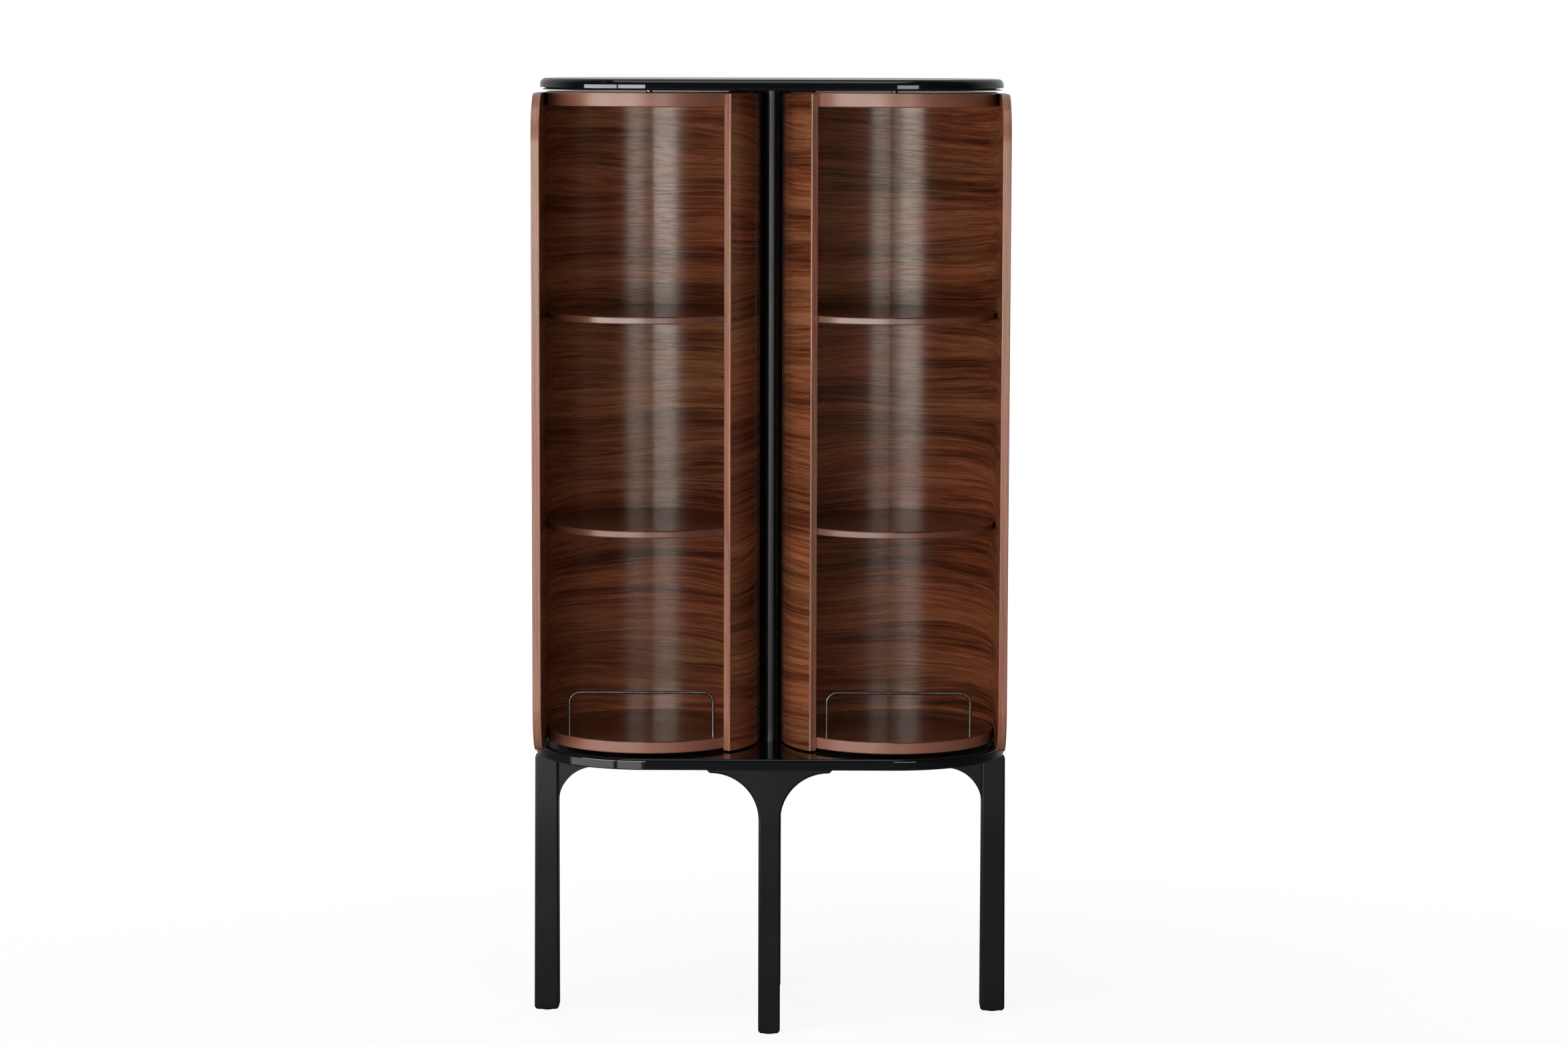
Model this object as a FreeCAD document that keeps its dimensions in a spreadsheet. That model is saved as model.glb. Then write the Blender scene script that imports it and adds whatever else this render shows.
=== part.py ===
"""Bar armoire with two revolving drums on a four-legged stand, in millimetres, +Z up.

Two walnut drums stand side by side between a black lacquered base and top.  Each drum is a bent wall
that runs round the back and straight forward on the outer side, with four round boards inside.  It turns
a quarter turn on pivots above and below, so that the straight side comes round to close the front.
X runs to the right, Y to the back, and the origin is on the ground under the middle of the base.
"""
import FreeCAD, Part
import math
import os

import Sketcher
from FreeCAD import Placement, Rotation, Vector

# Driving dimensions: name, value in millimetres or degrees, meaning.
SIZES = (
    ("cabinet_height", 1700, "ground to the upper face of the top"),
    ("base_height", 500, "ground to the upper face of the base"),
    ("base_thickness", 20, "thickness of the base"),
    ("base_overhang", 5, "edge of the base outside the bent walls"),
    ("base_upper_round", 5, "rounding of the upper edge of the base"),
    ("base_lower_round", 2, "rounding of the lower edge of the base"),
    ("top_thickness", 20, "thickness of the top"),
    ("top_setback", 5, "edge of the top inside the bent walls"),
    ("top_upper_round", 10, "rounding of the upper edge of the top"),
    ("top_lower_round", 4, "rounding of the lower edge of the top"),
    ("drum_spacing", 40, "between the bent walls of the two drums"),
    ("leg_width", 39, "front and back leg, across"),
    ("leg_depth", 44, "all legs, front to back"),
    ("leg_setback", 2, "front leg behind the edge of the base"),
    ("side_leg_width", 42, "side leg at its top, across"),
    ("side_leg_overhang", 2, "side leg beyond the end of the base"),
    ("side_leg_splay", 3, "widening of a side leg outwards at its foot"),
    ("side_leg_shoulder", 10, "rounding of the outer top corner of a side leg"),
    ("flare_radius", 85, "hollow curve from the front or back leg to the base"),
    ("flare_tip", 6, "thickness of a flare where its curve ends"),
    ("flare_lip", 1, "flat run at the end of a flare, before its slope up to the base"),
    ("bracket_radius", 67, "hollow curve under the bracket of a side leg"),
    ("bracket_drop", 28, "height of a bracket under the base past its hollow curve"),
    ("bracket_lip", 20, "flat run at the end of a bracket"),
    ("bracket_thickness", 26, "bracket behind the face of a side leg"),
    ("bracket_root", 12, "bracket let into its side leg"),
    ("foot_round", 7, "rounding of the foot corners"),
    ("leg_edge_round", 4, "rounding of the long edges of a leg"),
    ("glide_radius", 11, "glide under a foot"),
    ("glide_thickness", 3, "glide under a foot"),
    ("post_thickness", 22, "centre post, across"),
    ("post_front", 12, "centre post in front of the drum axes"),
    ("post_nose_round", 10, "rounding of the front of the post"),
    ("back_panel_width", 160, "back panel, across"),
    ("back_panel_thickness", 15, "back panel"),
    ("back_panel_inset", 10, "rear face of the back panel inside the rear of the walls"),
    ("shell_radius", 200, "outer face of the bent wall about the drum axis"),
    ("shell_thickness", 15, "bent wall and straight panel"),
    ("inner_edge_angle", 48.5, "inner edge of the wall, degrees from the front"),
    ("panel_overhang", 5, "front of the straight panel outside the bent wall"),
    ("panel_corner_radius", 82, "front corners of the straight panel"),
    ("edging_thickness", 3, "solid edging on the wall edges"),
    ("edging_round", 1.5, "rounding of the front edges of the edging"),
    ("shell_base_gap", 3, "base to the lower edge of the wall"),
    ("shell_top_gap", 6, "upper edge of the wall to the top"),
    ("board_fit", 0.2, "glue gap between a round board and the wall"),
    ("board_edge_round", 2, "rounding of the board edges"),
    ("floor_gap", 6, "base to the floor board"),
    ("floor_thickness", 21, "floor board"),
    ("shelf_thickness", 13, "shelf"),
    ("lower_bay_height", 364, "floor board to the lower shelf"),
    ("middle_bay_height", 366, "lower shelf to the upper shelf"),
    ("ceiling_thickness", 26, "ceiling board"),
    ("ceiling_rise", 3, "ceiling board above the upper edge of the wall"),
    ("rail_wire_radius", 2.5, "gallery rail wire"),
    ("rail_height", 80, "gallery rail above the floor board"),
    ("rail_setback", 73, "gallery rail behind the front of the floor board"),
    ("rail_outer_margin", 8, "outer rail foot inside the edge of the floor board, along the rail"),
    ("rail_inner_margin", 29, "inner rail foot inside the edge of the floor board, along the rail"),
    ("rail_bend_radius", 18, "bends of the rail wire, on its middle line"),
    ("rail_foot_depth", 12, "rail feet in the floor board"),
    ("lower_pivot_radius", 8, "lower pivot pin"),
    ("lower_pivot_in_floor", 16, "lower pivot pin in the floor board"),
    ("lower_bush_length", 16, "bush in the base"),
    ("upper_pivot_radius", 6, "upper pivot pin"),
    ("upper_pivot_in_ceiling", 18, "upper pivot pin in the ceiling board"),
    ("upper_bush_length", 13, "bush in the top"),
    ("bush_wall", 4, "wall of the bushes"),
    ("running_clearance", 0.05, "pivot pin in its bush, on the radius"),
    ("pivot_end_gap", 2, "end of a pivot pin to the end of its bush"),
    ("washer_radius", 40, "thrust washer under the floor board"),
    ("washer_bore_gap", 0.5, "thrust washer round the lower pivot"),
    ("drum_swing", 90, "turn of a drum from open to closed, degrees"),
    ("stop_track_radius", 120, "stop pin from the drum axis"),
    ("stop_pin_radius", 4, "stop pin"),
    ("stop_pin_in_base", 12, "stop pin in the base"),
    ("stop_pin_in_floor", 4, "stop pin in the groove of the floor board"),
    ("stop_groove_depth", 6, "groove under the floor board"),
    ("stop_clearance", 0.5, "stop pin to the groove, all round"),
    ("board_dowel_radius", 3, "dowel from a board into the wall"),
    ("board_dowel_in_wall", 9, "dowel in the wall"),
    ("board_dowel_in_board", 18, "dowel in the board"),
    ("frame_dowel_radius", 4, "dowel in the stand and the spine"),
    ("frame_dowel_in_slab", 13, "dowel in the base or the top"),
    ("frame_dowel_in_member", 26, "dowel in a leg, the post or the back panel"),
    ("leg_dowel_spacing", 22, "the two dowels of a leg"),
    ("post_dowel_front", 40, "front dowel of the post behind the drum axes"),
    ("post_dowel_rear", 130, "rear dowel of the post behind the drum axes"),
    ("panel_dowel_spacing", 110, "the two dowels of the back panel"),
    ("glue_fit", 0.05, "glued pin, dowel or bush in its hole, on the radius"),
)

# Heights and places that follow from the sizes, as expressions.
BASE_UNDERSIDE = "(sizes.base_height - sizes.base_thickness)"
TOP_UNDERSIDE = "(sizes.cabinet_height - sizes.top_thickness)"
SPINE_HEIGHT = f"({TOP_UNDERSIDE} - sizes.base_height)"
SHELL_BOTTOM = "(sizes.base_height + sizes.shell_base_gap)"
SHELL_TOP = f"({TOP_UNDERSIDE} - sizes.shell_top_gap)"
SHELL_BORE = "(sizes.shell_radius - sizes.shell_thickness)"
DRUM_AXIS = "(sizes.shell_radius + sizes.drum_spacing / 2)"
BASE_END_RADIUS = "(sizes.shell_radius + sizes.base_overhang)"
TOP_END_RADIUS = "(sizes.shell_radius - sizes.top_setback)"
PANEL_REACH = "(sizes.shell_radius + sizes.panel_overhang)"
BOARD_RADIUS = f"({SHELL_BORE} - sizes.board_fit)"
FLOOR_BOTTOM = "(sizes.base_height + sizes.floor_gap)"
FLOOR_TOP = f"({FLOOR_BOTTOM} + sizes.floor_thickness)"
LOWER_SHELF_BOTTOM = f"({FLOOR_TOP} + sizes.lower_bay_height)"
UPPER_SHELF_BOTTOM = f"({LOWER_SHELF_BOTTOM} + sizes.shelf_thickness + sizes.middle_bay_height)"
CEILING_TOP = f"({SHELL_TOP} + sizes.ceiling_rise)"
CEILING_BOTTOM = f"({CEILING_TOP} - sizes.ceiling_thickness)"
BACK_PANEL_REAR = "(sizes.shell_radius - sizes.back_panel_inset)"
BACK_PANEL_FRONT = f"({BACK_PANEL_REAR} - sizes.back_panel_thickness)"
BACK_PANEL_MIDDLE = f"({BACK_PANEL_REAR} - sizes.back_panel_thickness / 2)"
SIDE_LEG_OUTER = f"({DRUM_AXIS} + {BASE_END_RADIUS} + sizes.side_leg_overhang)"
SIDE_LEG_INNER = f"({SIDE_LEG_OUTER} - sizes.side_leg_width)"
SIDE_LEG_MIDDLE = f"({SIDE_LEG_OUTER} - sizes.side_leg_width / 2)"
FRONT_LEG_FACE = f"({BASE_END_RADIUS} - sizes.leg_setback)"
FRONT_LEG_MIDDLE = f"({FRONT_LEG_FACE} - sizes.leg_depth / 2)"
FLARE_LEVEL = f"({BASE_UNDERSIDE} - sizes.flare_tip)"
FLARE_FOOT = f"({FLARE_LEVEL} - sizes.flare_radius)"
BRACKET_LEVEL = f"({BASE_UNDERSIDE} - sizes.bracket_drop)"
BRACKET_FOOT = f"({BRACKET_LEVEL} - sizes.bracket_radius)"
LOWER_BUSH_RADIUS = "(sizes.lower_pivot_radius + sizes.running_clearance + sizes.bush_wall)"
UPPER_BUSH_RADIUS = "(sizes.upper_pivot_radius + sizes.running_clearance + sizes.bush_wall)"
STOP_REACH = "(sizes.stop_pin_radius + sizes.stop_clearance)"
RAIL_SETOUT = f"({BOARD_RADIUS} - sizes.rail_setback)"
RAIL_CHORD = f"sqrt({BOARD_RADIUS} ^ 2 - {RAIL_SETOUT} ^ 2)"
RAIL_OUTER = f"({RAIL_CHORD} - sizes.rail_outer_margin)"
RAIL_INNER = f"({RAIL_CHORD} - sizes.rail_inner_margin)"

# Round boards of a drum from the bottom up: name, lower face, thickness.
BOARDS = (
    ("floor", FLOOR_BOTTOM, "sizes.floor_thickness"),
    ("lower_shelf", LOWER_SHELF_BOTTOM, "sizes.shelf_thickness"),
    ("upper_shelf", UPPER_SHELF_BOTTOM, "sizes.shelf_thickness"),
    ("ceiling", CEILING_BOTTOM, "sizes.ceiling_thickness"),
)
# Each side with the direction from its drum axis to the middle of the cabinet.
SIDES = (("left", 1), ("right", -1))
BOARD_DOWEL_ANGLES = (20, 90, 160)
# Direction from a drum axis to its stop pin, in degrees from +X.
STOP_PIN_ANGLE = 90
UPWARD = Vector(0, 0, 1)
HALF_TURN = Rotation(UPWARD, 180)
ORIGIN_POINT = (-1, 1)
X_AXIS = -1
Y_AXIS = -2
POINT_CODES = {"start": 1, "end": 2, "centre": 3}
NEAR_ZERO = 1e-6
TRIM_MARGIN = "1"

doc = FreeCAD.newDocument("bar_armoire")
sheet = doc.addObject("Spreadsheet::Sheet", "sizes")
for row, (alias, number, meaning) in enumerate(SIZES, start=1):
    sheet.set(f"A{row}", meaning)
    sheet.set(f"B{row}", str(number))
    sheet.setAlias(f"B{row}", alias)
doc.recompute()
nodes = []


def number_of(expression):
    """Number that an expression on the sheet gives."""
    result = sheet.evalExpression(expression)
    return float(getattr(result, "Value", result))


def place(thing, x="0", y="0", z="0", rotation=None):
    """Turn an object once and bind its place to expressions."""
    thing.Placement = Placement(Vector(), rotation or Rotation())
    thing.setExpression(".Placement.Base.x", x)
    thing.setExpression(".Placement.Base.y", y)
    thing.setExpression(".Placement.Base.z", z)


def keep(thing, label):
    """Name an object as one of the pieces."""
    thing.Label = label
    nodes.append(thing)
    return thing


# Sketches

def new_body(label, x="0", rotation=None):
    """Empty body whose own origin stands at x on the ground."""
    body = doc.addObject("PartDesign::Body", label + "_body")
    place(body, x, rotation=rotation)
    return body


def new_sketch(body, plane, name, offset="0"):
    """Sketch on one of the body's origin planes, moved along the plane's normal."""
    sketch = body.newObject("Sketcher::SketchObject", name)
    support = [item for item in body.Origin.OriginFeatures if item.Role == plane][0]
    sketch.AttachmentSupport = [(support, "")]
    sketch.MapMode = "FlatFace"
    sketch.setExpression(".AttachmentOffset.Base.z", offset)
    return sketch


def hold_point(sketch, geometry, spot, x, y):
    """Hold the start, end or centre of a piece of a sketch at two expressions."""
    point = POINT_CODES[spot]
    for kind, axis, expression in (("DistanceX", Y_AXIS, x), ("DistanceY", X_AXIS, y)):
        amount = number_of(expression)
        if abs(amount) < NEAR_ZERO:
            sketch.addConstraint(Sketcher.Constraint("PointOnObject", geometry, point, axis))
        else:
            distance = Sketcher.Constraint(kind, *ORIGIN_POINT, geometry, point, amount)
            index = sketch.addConstraint(distance)
            sketch.setExpression(f"Constraints[{index}]", expression)


def hold_radius(sketch, geometry, radius):
    """Hold the radius of a circle or an arc at an expression."""
    index = sketch.addConstraint(Sketcher.Constraint("Radius", geometry, number_of(radius)))
    sketch.setExpression(f"Constraints[{index}]", radius)


def draw_circle(sketch, radius, x="0", y="0"):
    """Circle of a bound radius about a bound point."""
    centre = Vector(number_of(x), number_of(y), 0)
    geometry = sketch.addGeometry(Part.Circle(centre, UPWARD, number_of(radius)), False)
    hold_point(sketch, geometry, "centre", x, y)
    hold_radius(sketch, geometry, radius)


def draw_arc(sketch, start, end, bend):
    """Quarter or half arc about a bound centre; gives its geometry, its first and its last point."""
    centre_x, centre_y, radius = bend
    centre = Vector(number_of(centre_x), number_of(centre_y), 0)
    turn = (start - centre).cross(end - centre).z
    leftward = turn > -NEAR_ZERO * (start - centre).Length ** 2
    low, high = (start, end) if leftward else (end, start)
    circle = Part.Circle(centre, UPWARD, (start - centre).Length)
    arc = Part.ArcOfCircle(circle, circle.parameter(low), circle.parameter(high))
    geometry = sketch.addGeometry(arc, False)
    hold_point(sketch, geometry, "centre", centre_x, centre_y)
    hold_radius(sketch, geometry, radius)
    middle = POINT_CODES["centre"]
    for name, spot in (("start", low), ("end", high)):
        beside = abs(spot.y - centre.y) < abs(spot.x - centre.x)
        line = "Horizontal" if beside else "Vertical"
        sketch.addConstraint(Sketcher.Constraint(line, geometry, POINT_CODES[name], geometry, middle))
    return (geometry, "start", "end") if leftward else (geometry, "end", "start")


def draw_path(sketch, points, bends=None, closed=True):
    """Lines and arcs through points that are pairs of expressions.

    bends gives, for the index of a point, the centre and radius of the arc that runs from it to the next
    point.  Both ends of such an arc stand straight above, below or beside its centre.
    """
    bends = bends or {}
    spots = [Vector(number_of(x), number_of(y), 0) for x, y in points]
    count = len(points) if closed else len(points) - 1
    pieces = []
    for index in range(count):
        start = spots[index]
        end = spots[(index + 1) % len(spots)]
        if index in bends:
            pieces.append(draw_arc(sketch, start, end, bends[index]))
        else:
            pieces.append((sketch.addGeometry(Part.LineSegment(start, end), False), "start", "end"))
    for index in range(count if closed else count - 1):
        here, _, last = pieces[index]
        after, first, _ = pieces[(index + 1) % count]
        joint = Sketcher.Constraint("Coincident", here, POINT_CODES[last], after, POINT_CODES[first])
        sketch.addConstraint(joint)
    on_arcs = {spot for index in bends for spot in (index, (index + 1) % len(points))}
    for index, (x, y) in enumerate(points):
        if index in on_arcs:
            continue
        geometry, first, last = pieces[min(index, count - 1)]
        hold_point(sketch, geometry, first if index < count else last, x, y)


# Features and solids

def pad(body, sketch, length, name):
    """Pad of a bound length along the sketch's normal."""
    feature = body.newObject("PartDesign::Pad", name)
    feature.Profile = sketch
    feature.setExpression("Length", length)
    return feature


def round_edges(body, feature, radius, name, wanted):
    """Fillet of a bound radius on the edges of a feature that are wanted."""
    doc.recompute()
    edges = [f"Edge{index}" for index, edge in enumerate(feature.Shape.Edges, start=1) if wanted(edge)]
    fillet = body.newObject("PartDesign::Fillet", name)
    fillet.Base = (feature, edges)
    fillet.setExpression("Radius", radius)
    return fillet


def is_level(edge):
    """True for an edge that lies in one level plane."""
    return edge.BoundBox.ZLength < NEAR_ZERO


def is_upright(edge):
    """True for an edge that stands on one point of the plan."""
    return edge.BoundBox.XLength < NEAR_ZERO and edge.BoundBox.YLength < NEAR_ZERO


def cylinder(name, radius, height, x, y, z, rotation=None):
    """Cylinder of bound sizes, upright or turned."""
    solid = doc.addObject("Part::Cylinder", name)
    solid.setExpression("Radius", radius)
    solid.setExpression("Height", height)
    place(solid, x, y, z, rotation)
    return solid


def group(name, solids):
    """Several separate solids as one object."""
    compound = doc.addObject("Part::Compound", name)
    compound.Links = solids
    return compound


def cut(name, base, tools):
    """A solid less its tools."""
    result = doc.addObject("Part::Cut", name)
    result.Base = base
    result.Tool = group(name + "_tools", tools) if len(tools) > 1 else tools[0]
    return result


def dowel(name, radius, length, x, y, z, rotation=None):
    """Dowel and the hole for it."""
    pin = cylinder(name, radius, length, x, y, z, rotation)
    hole = cylinder(name + "_hole", f"{radius} + sizes.glue_fit", length, x, y, z, rotation)
    return pin, hole


def ring(name, outer, inner, height, x, z):
    """Upright tube on the drum axis line."""
    solid = cylinder(name + "_solid", outer, height, x, "0", z)
    bore = cylinder(name + "_bore", inner, height, x, "0", z)
    return cut(name, solid, [bore])


# Stand and spine

def make_slab(name, end_radius, underside, thickness, upper_round, lower_round, holes):
    """Flat board with round ends about the two drum axes."""
    body = new_body(name)
    outline = new_sketch(body, "XY_Plane", name + "_outline", underside)
    right, left = DRUM_AXIS, f"-{DRUM_AXIS}"
    points = [(left, f"-{end_radius}"), (right, f"-{end_radius}"), (right, end_radius), (left, end_radius)]
    draw_path(outline, points, {1: (right, "0", end_radius), 3: (left, "0", end_radius)})
    board = pad(body, outline, thickness, name + "_board")
    middle = number_of(f"{underside} + {thickness} / 2")

    def on_top(edge):
        return is_level(edge) and edge.BoundBox.ZMin > middle

    def at_bottom(edge):
        return edge.BoundBox.ZMax < number_of(underside) + NEAR_ZERO

    board = round_edges(body, board, upper_round, name + "_upper_rounding", on_top)
    round_edges(body, board, lower_round, name + "_lower_rounding", at_bottom)
    keep(cut(name, body, holes), name)


def make_middle_leg(name, rotation, holes):
    """Front or back leg, flaring into the base on both sides."""
    body = new_body(name, rotation=rotation)
    outline = new_sketch(body, "XZ_Plane", name + "_outline", f"{FRONT_LEG_FACE} - sizes.leg_depth")
    half = "(sizes.leg_width / 2)"
    flare = f"({half} + sizes.flare_radius)"
    tip = f"({flare} + sizes.flare_lip)"
    end = f"({tip} + sizes.flare_tip)"
    foot = "sizes.glide_thickness"
    points = [
        (f"-{end}", BASE_UNDERSIDE),
        (end, BASE_UNDERSIDE),
        (tip, FLARE_LEVEL),
        (flare, FLARE_LEVEL),
        (half, FLARE_FOOT),
        (half, foot),
        (f"-{half}", foot),
        (f"-{half}", FLARE_FOOT),
        (f"-{flare}", FLARE_LEVEL),
        (f"-{tip}", FLARE_LEVEL),
    ]
    bends = {
        3: (flare, FLARE_FOOT, "sizes.flare_radius"),
        7: (f"-{flare}", FLARE_FOOT, "sizes.flare_radius"),
    }
    draw_path(outline, points, bends)
    leg = pad(body, outline, "sizes.leg_depth", name + "_board")
    round_long_edges(body, round_feet(body, leg, name), name)
    keep(cut(name, body, holes), name)


def make_side_leg(name, rotation, holes):
    """Left leg, or right leg by half a turn: an upright bar and a thinner bracket under the base."""
    body = new_body(name, rotation=rotation)
    foot = "sizes.glide_thickness"
    bar_outline = new_sketch(body, "XZ_Plane", name + "_bar_outline", "-sizes.leg_depth / 2")
    bar_points = [
        (f"-{SIDE_LEG_OUTER}", BASE_UNDERSIDE),
        (f"-{SIDE_LEG_INNER}", BASE_UNDERSIDE),
        (f"-{SIDE_LEG_INNER}", foot),
        (f"-({SIDE_LEG_OUTER} + sizes.side_leg_splay)", foot),
    ]
    draw_path(bar_outline, bar_points)
    bar = pad(body, bar_outline, "sizes.leg_depth", name + "_bar")
    top = number_of(BASE_UNDERSIDE)

    def at_shoulder(edge):
        across = edge.BoundBox.XLength < NEAR_ZERO and edge.BoundBox.ZMin > top - NEAR_ZERO
        return across and edge.BoundBox.XMax < -number_of(SIDE_LEG_MIDDLE)

    bar = round_edges(body, bar, "sizes.side_leg_shoulder", name + "_shoulder", at_shoulder)
    round_long_edges(body, round_feet(body, bar, name), name)
    bracket_outline = new_sketch(body, "XZ_Plane", name + "_bracket_outline", "-sizes.bracket_thickness / 2")
    root = f"-({SIDE_LEG_INNER} + sizes.bracket_root)"
    hollow = f"({SIDE_LEG_INNER} - sizes.bracket_radius)"
    tip = f"({hollow} - sizes.bracket_lip)"
    bracket_points = [
        (root, BASE_UNDERSIDE),
        (f"-({tip} - sizes.bracket_drop)", BASE_UNDERSIDE),
        (f"-{tip}", BRACKET_LEVEL),
        (f"-{hollow}", BRACKET_LEVEL),
        (f"-{SIDE_LEG_INNER}", BRACKET_FOOT),
        (root, BRACKET_FOOT),
    ]
    draw_path(bracket_outline, bracket_points, {3: (f"-{hollow}", BRACKET_FOOT, "sizes.bracket_radius")})
    pad(body, bracket_outline, "sizes.bracket_thickness", name + "_bracket")
    keep(cut(name, body, holes), name)


def round_feet(body, feature, name):
    """Round the two foot corners of a leg that run front to back."""
    foot = number_of("sizes.glide_thickness")

    def at_foot(edge):
        return edge.BoundBox.ZMax < foot + NEAR_ZERO and edge.BoundBox.XLength < NEAR_ZERO

    return round_edges(body, feature, "sizes.foot_round", name + "_foot_rounding", at_foot)


def round_long_edges(body, feature, name):
    """Round the edges of the front and rear faces of a leg below the ends of its flares."""
    level = number_of(FLARE_LEVEL)

    def below_flare(edge):
        return edge.BoundBox.YLength < NEAR_ZERO and edge.BoundBox.ZMin < level - NEAR_ZERO

    round_edges(body, feature, "sizes.leg_edge_round", name + "_edge_rounding", below_flare)


def make_post(holes):
    """Black fin between the drums with a round front."""
    body = new_body("centre_post")
    outline = new_sketch(body, "XY_Plane", "centre_post_outline", "sizes.base_height")
    half = "(sizes.post_thickness / 2)"
    front = "-sizes.post_front"
    points = [(f"-{half}", front), (half, front), (half, BACK_PANEL_FRONT), (f"-{half}", BACK_PANEL_FRONT)]
    draw_path(outline, points)
    fin = pad(body, outline, SPINE_HEIGHT, "centre_post_fin")

    def at_nose(edge):
        return is_upright(edge) and edge.BoundBox.YMax < 0

    round_edges(body, fin, "sizes.post_nose_round", "centre_post_nose", at_nose)
    keep(cut("centre_post", body, holes), "centre_post")


def make_back_panel(holes):
    """Black panel that closes the space between the drums at the back."""
    board = doc.addObject("Part::Box", "back_panel_board")
    board.setExpression("Length", "sizes.back_panel_width")
    board.setExpression("Width", "sizes.back_panel_thickness")
    board.setExpression("Height", SPINE_HEIGHT)
    place(board, "-sizes.back_panel_width / 2", BACK_PANEL_FRONT, "sizes.base_height")
    keep(cut("back_panel", board, holes), "back_panel")


def frame_dowel(name, x, y, member_above, joint):
    """Upright dowel between a slab and a member whose end is at the joint level."""
    below = "sizes.frame_dowel_in_slab" if member_above else "sizes.frame_dowel_in_member"
    length = "sizes.frame_dowel_in_slab + sizes.frame_dowel_in_member"
    return dowel(name, "sizes.frame_dowel_radius", length, x, y, f"{joint} - {below}")


def make_leg_dowels():
    """Two dowels over each leg; gives the holes by leg."""
    step = "sizes.leg_dowel_spacing / 2"
    legs = {
        "front_leg": [("0", f"-{FRONT_LEG_MIDDLE} - {step}"), ("0", f"-{FRONT_LEG_MIDDLE} + {step}")],
        "back_leg": [("0", f"{FRONT_LEG_MIDDLE} - {step}"), ("0", f"{FRONT_LEG_MIDDLE} + {step}")],
        "left_leg": [(f"-{SIDE_LEG_MIDDLE}", f"-{step}"), (f"-{SIDE_LEG_MIDDLE}", step)],
        "right_leg": [(SIDE_LEG_MIDDLE, f"-{step}"), (SIDE_LEG_MIDDLE, step)],
    }
    pins = []
    holes = {}
    for leg, spots in legs.items():
        holes[leg] = []
        for index, (x, y) in enumerate(spots):
            pin, hole = frame_dowel(f"{leg}_dowel_{index}", x, y, False, BASE_UNDERSIDE)
            pins.append(pin)
            holes[leg].append(hole)
    keep(group("leg_dowels", pins), "leg_dowels")
    return holes


def make_spine_dowels():
    """Dowels at both ends of the post and of the back panel; gives the holes by member and by slab."""
    step = "sizes.panel_dowel_spacing / 2"
    members = {
        "centre_post": [("0", "sizes.post_dowel_front"), ("0", "sizes.post_dowel_rear")],
        "back_panel": [(f"-{step}", BACK_PANEL_MIDDLE), (step, BACK_PANEL_MIDDLE)],
    }
    pins = []
    holes = {"centre_post": [], "back_panel": [], "base_slab": [], "top_slab": []}
    for member, spots in members.items():
        for index, (x, y) in enumerate(spots):
            for slab, above, joint in (
                ("base_slab", True, "sizes.base_height"),
                ("top_slab", False, TOP_UNDERSIDE),
            ):
                pin, hole = frame_dowel(f"{member}_{slab}_dowel_{index}", x, y, above, joint)
                pins.append(pin)
                holes[member].append(hole)
                holes[slab].append(hole)
    keep(group("spine_dowels", pins), "spine_dowels")
    return holes


def make_glides():
    """Glides under the four feet."""
    side = f"({SIDE_LEG_MIDDLE} + sizes.side_leg_splay / 2)"
    spots = [("0", f"-{FRONT_LEG_MIDDLE}"), ("0", FRONT_LEG_MIDDLE), (f"-{side}", "0"), (side, "0")]
    pads = []
    for index, (x, y) in enumerate(spots):
        glide = cylinder(f"glide_{index}", "sizes.glide_radius", "sizes.glide_thickness", x, y, "0")
        pads.append(glide)
    keep(group("leg_glides", pads), "leg_glides")


# Pivots and stops, one set on each side

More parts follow.
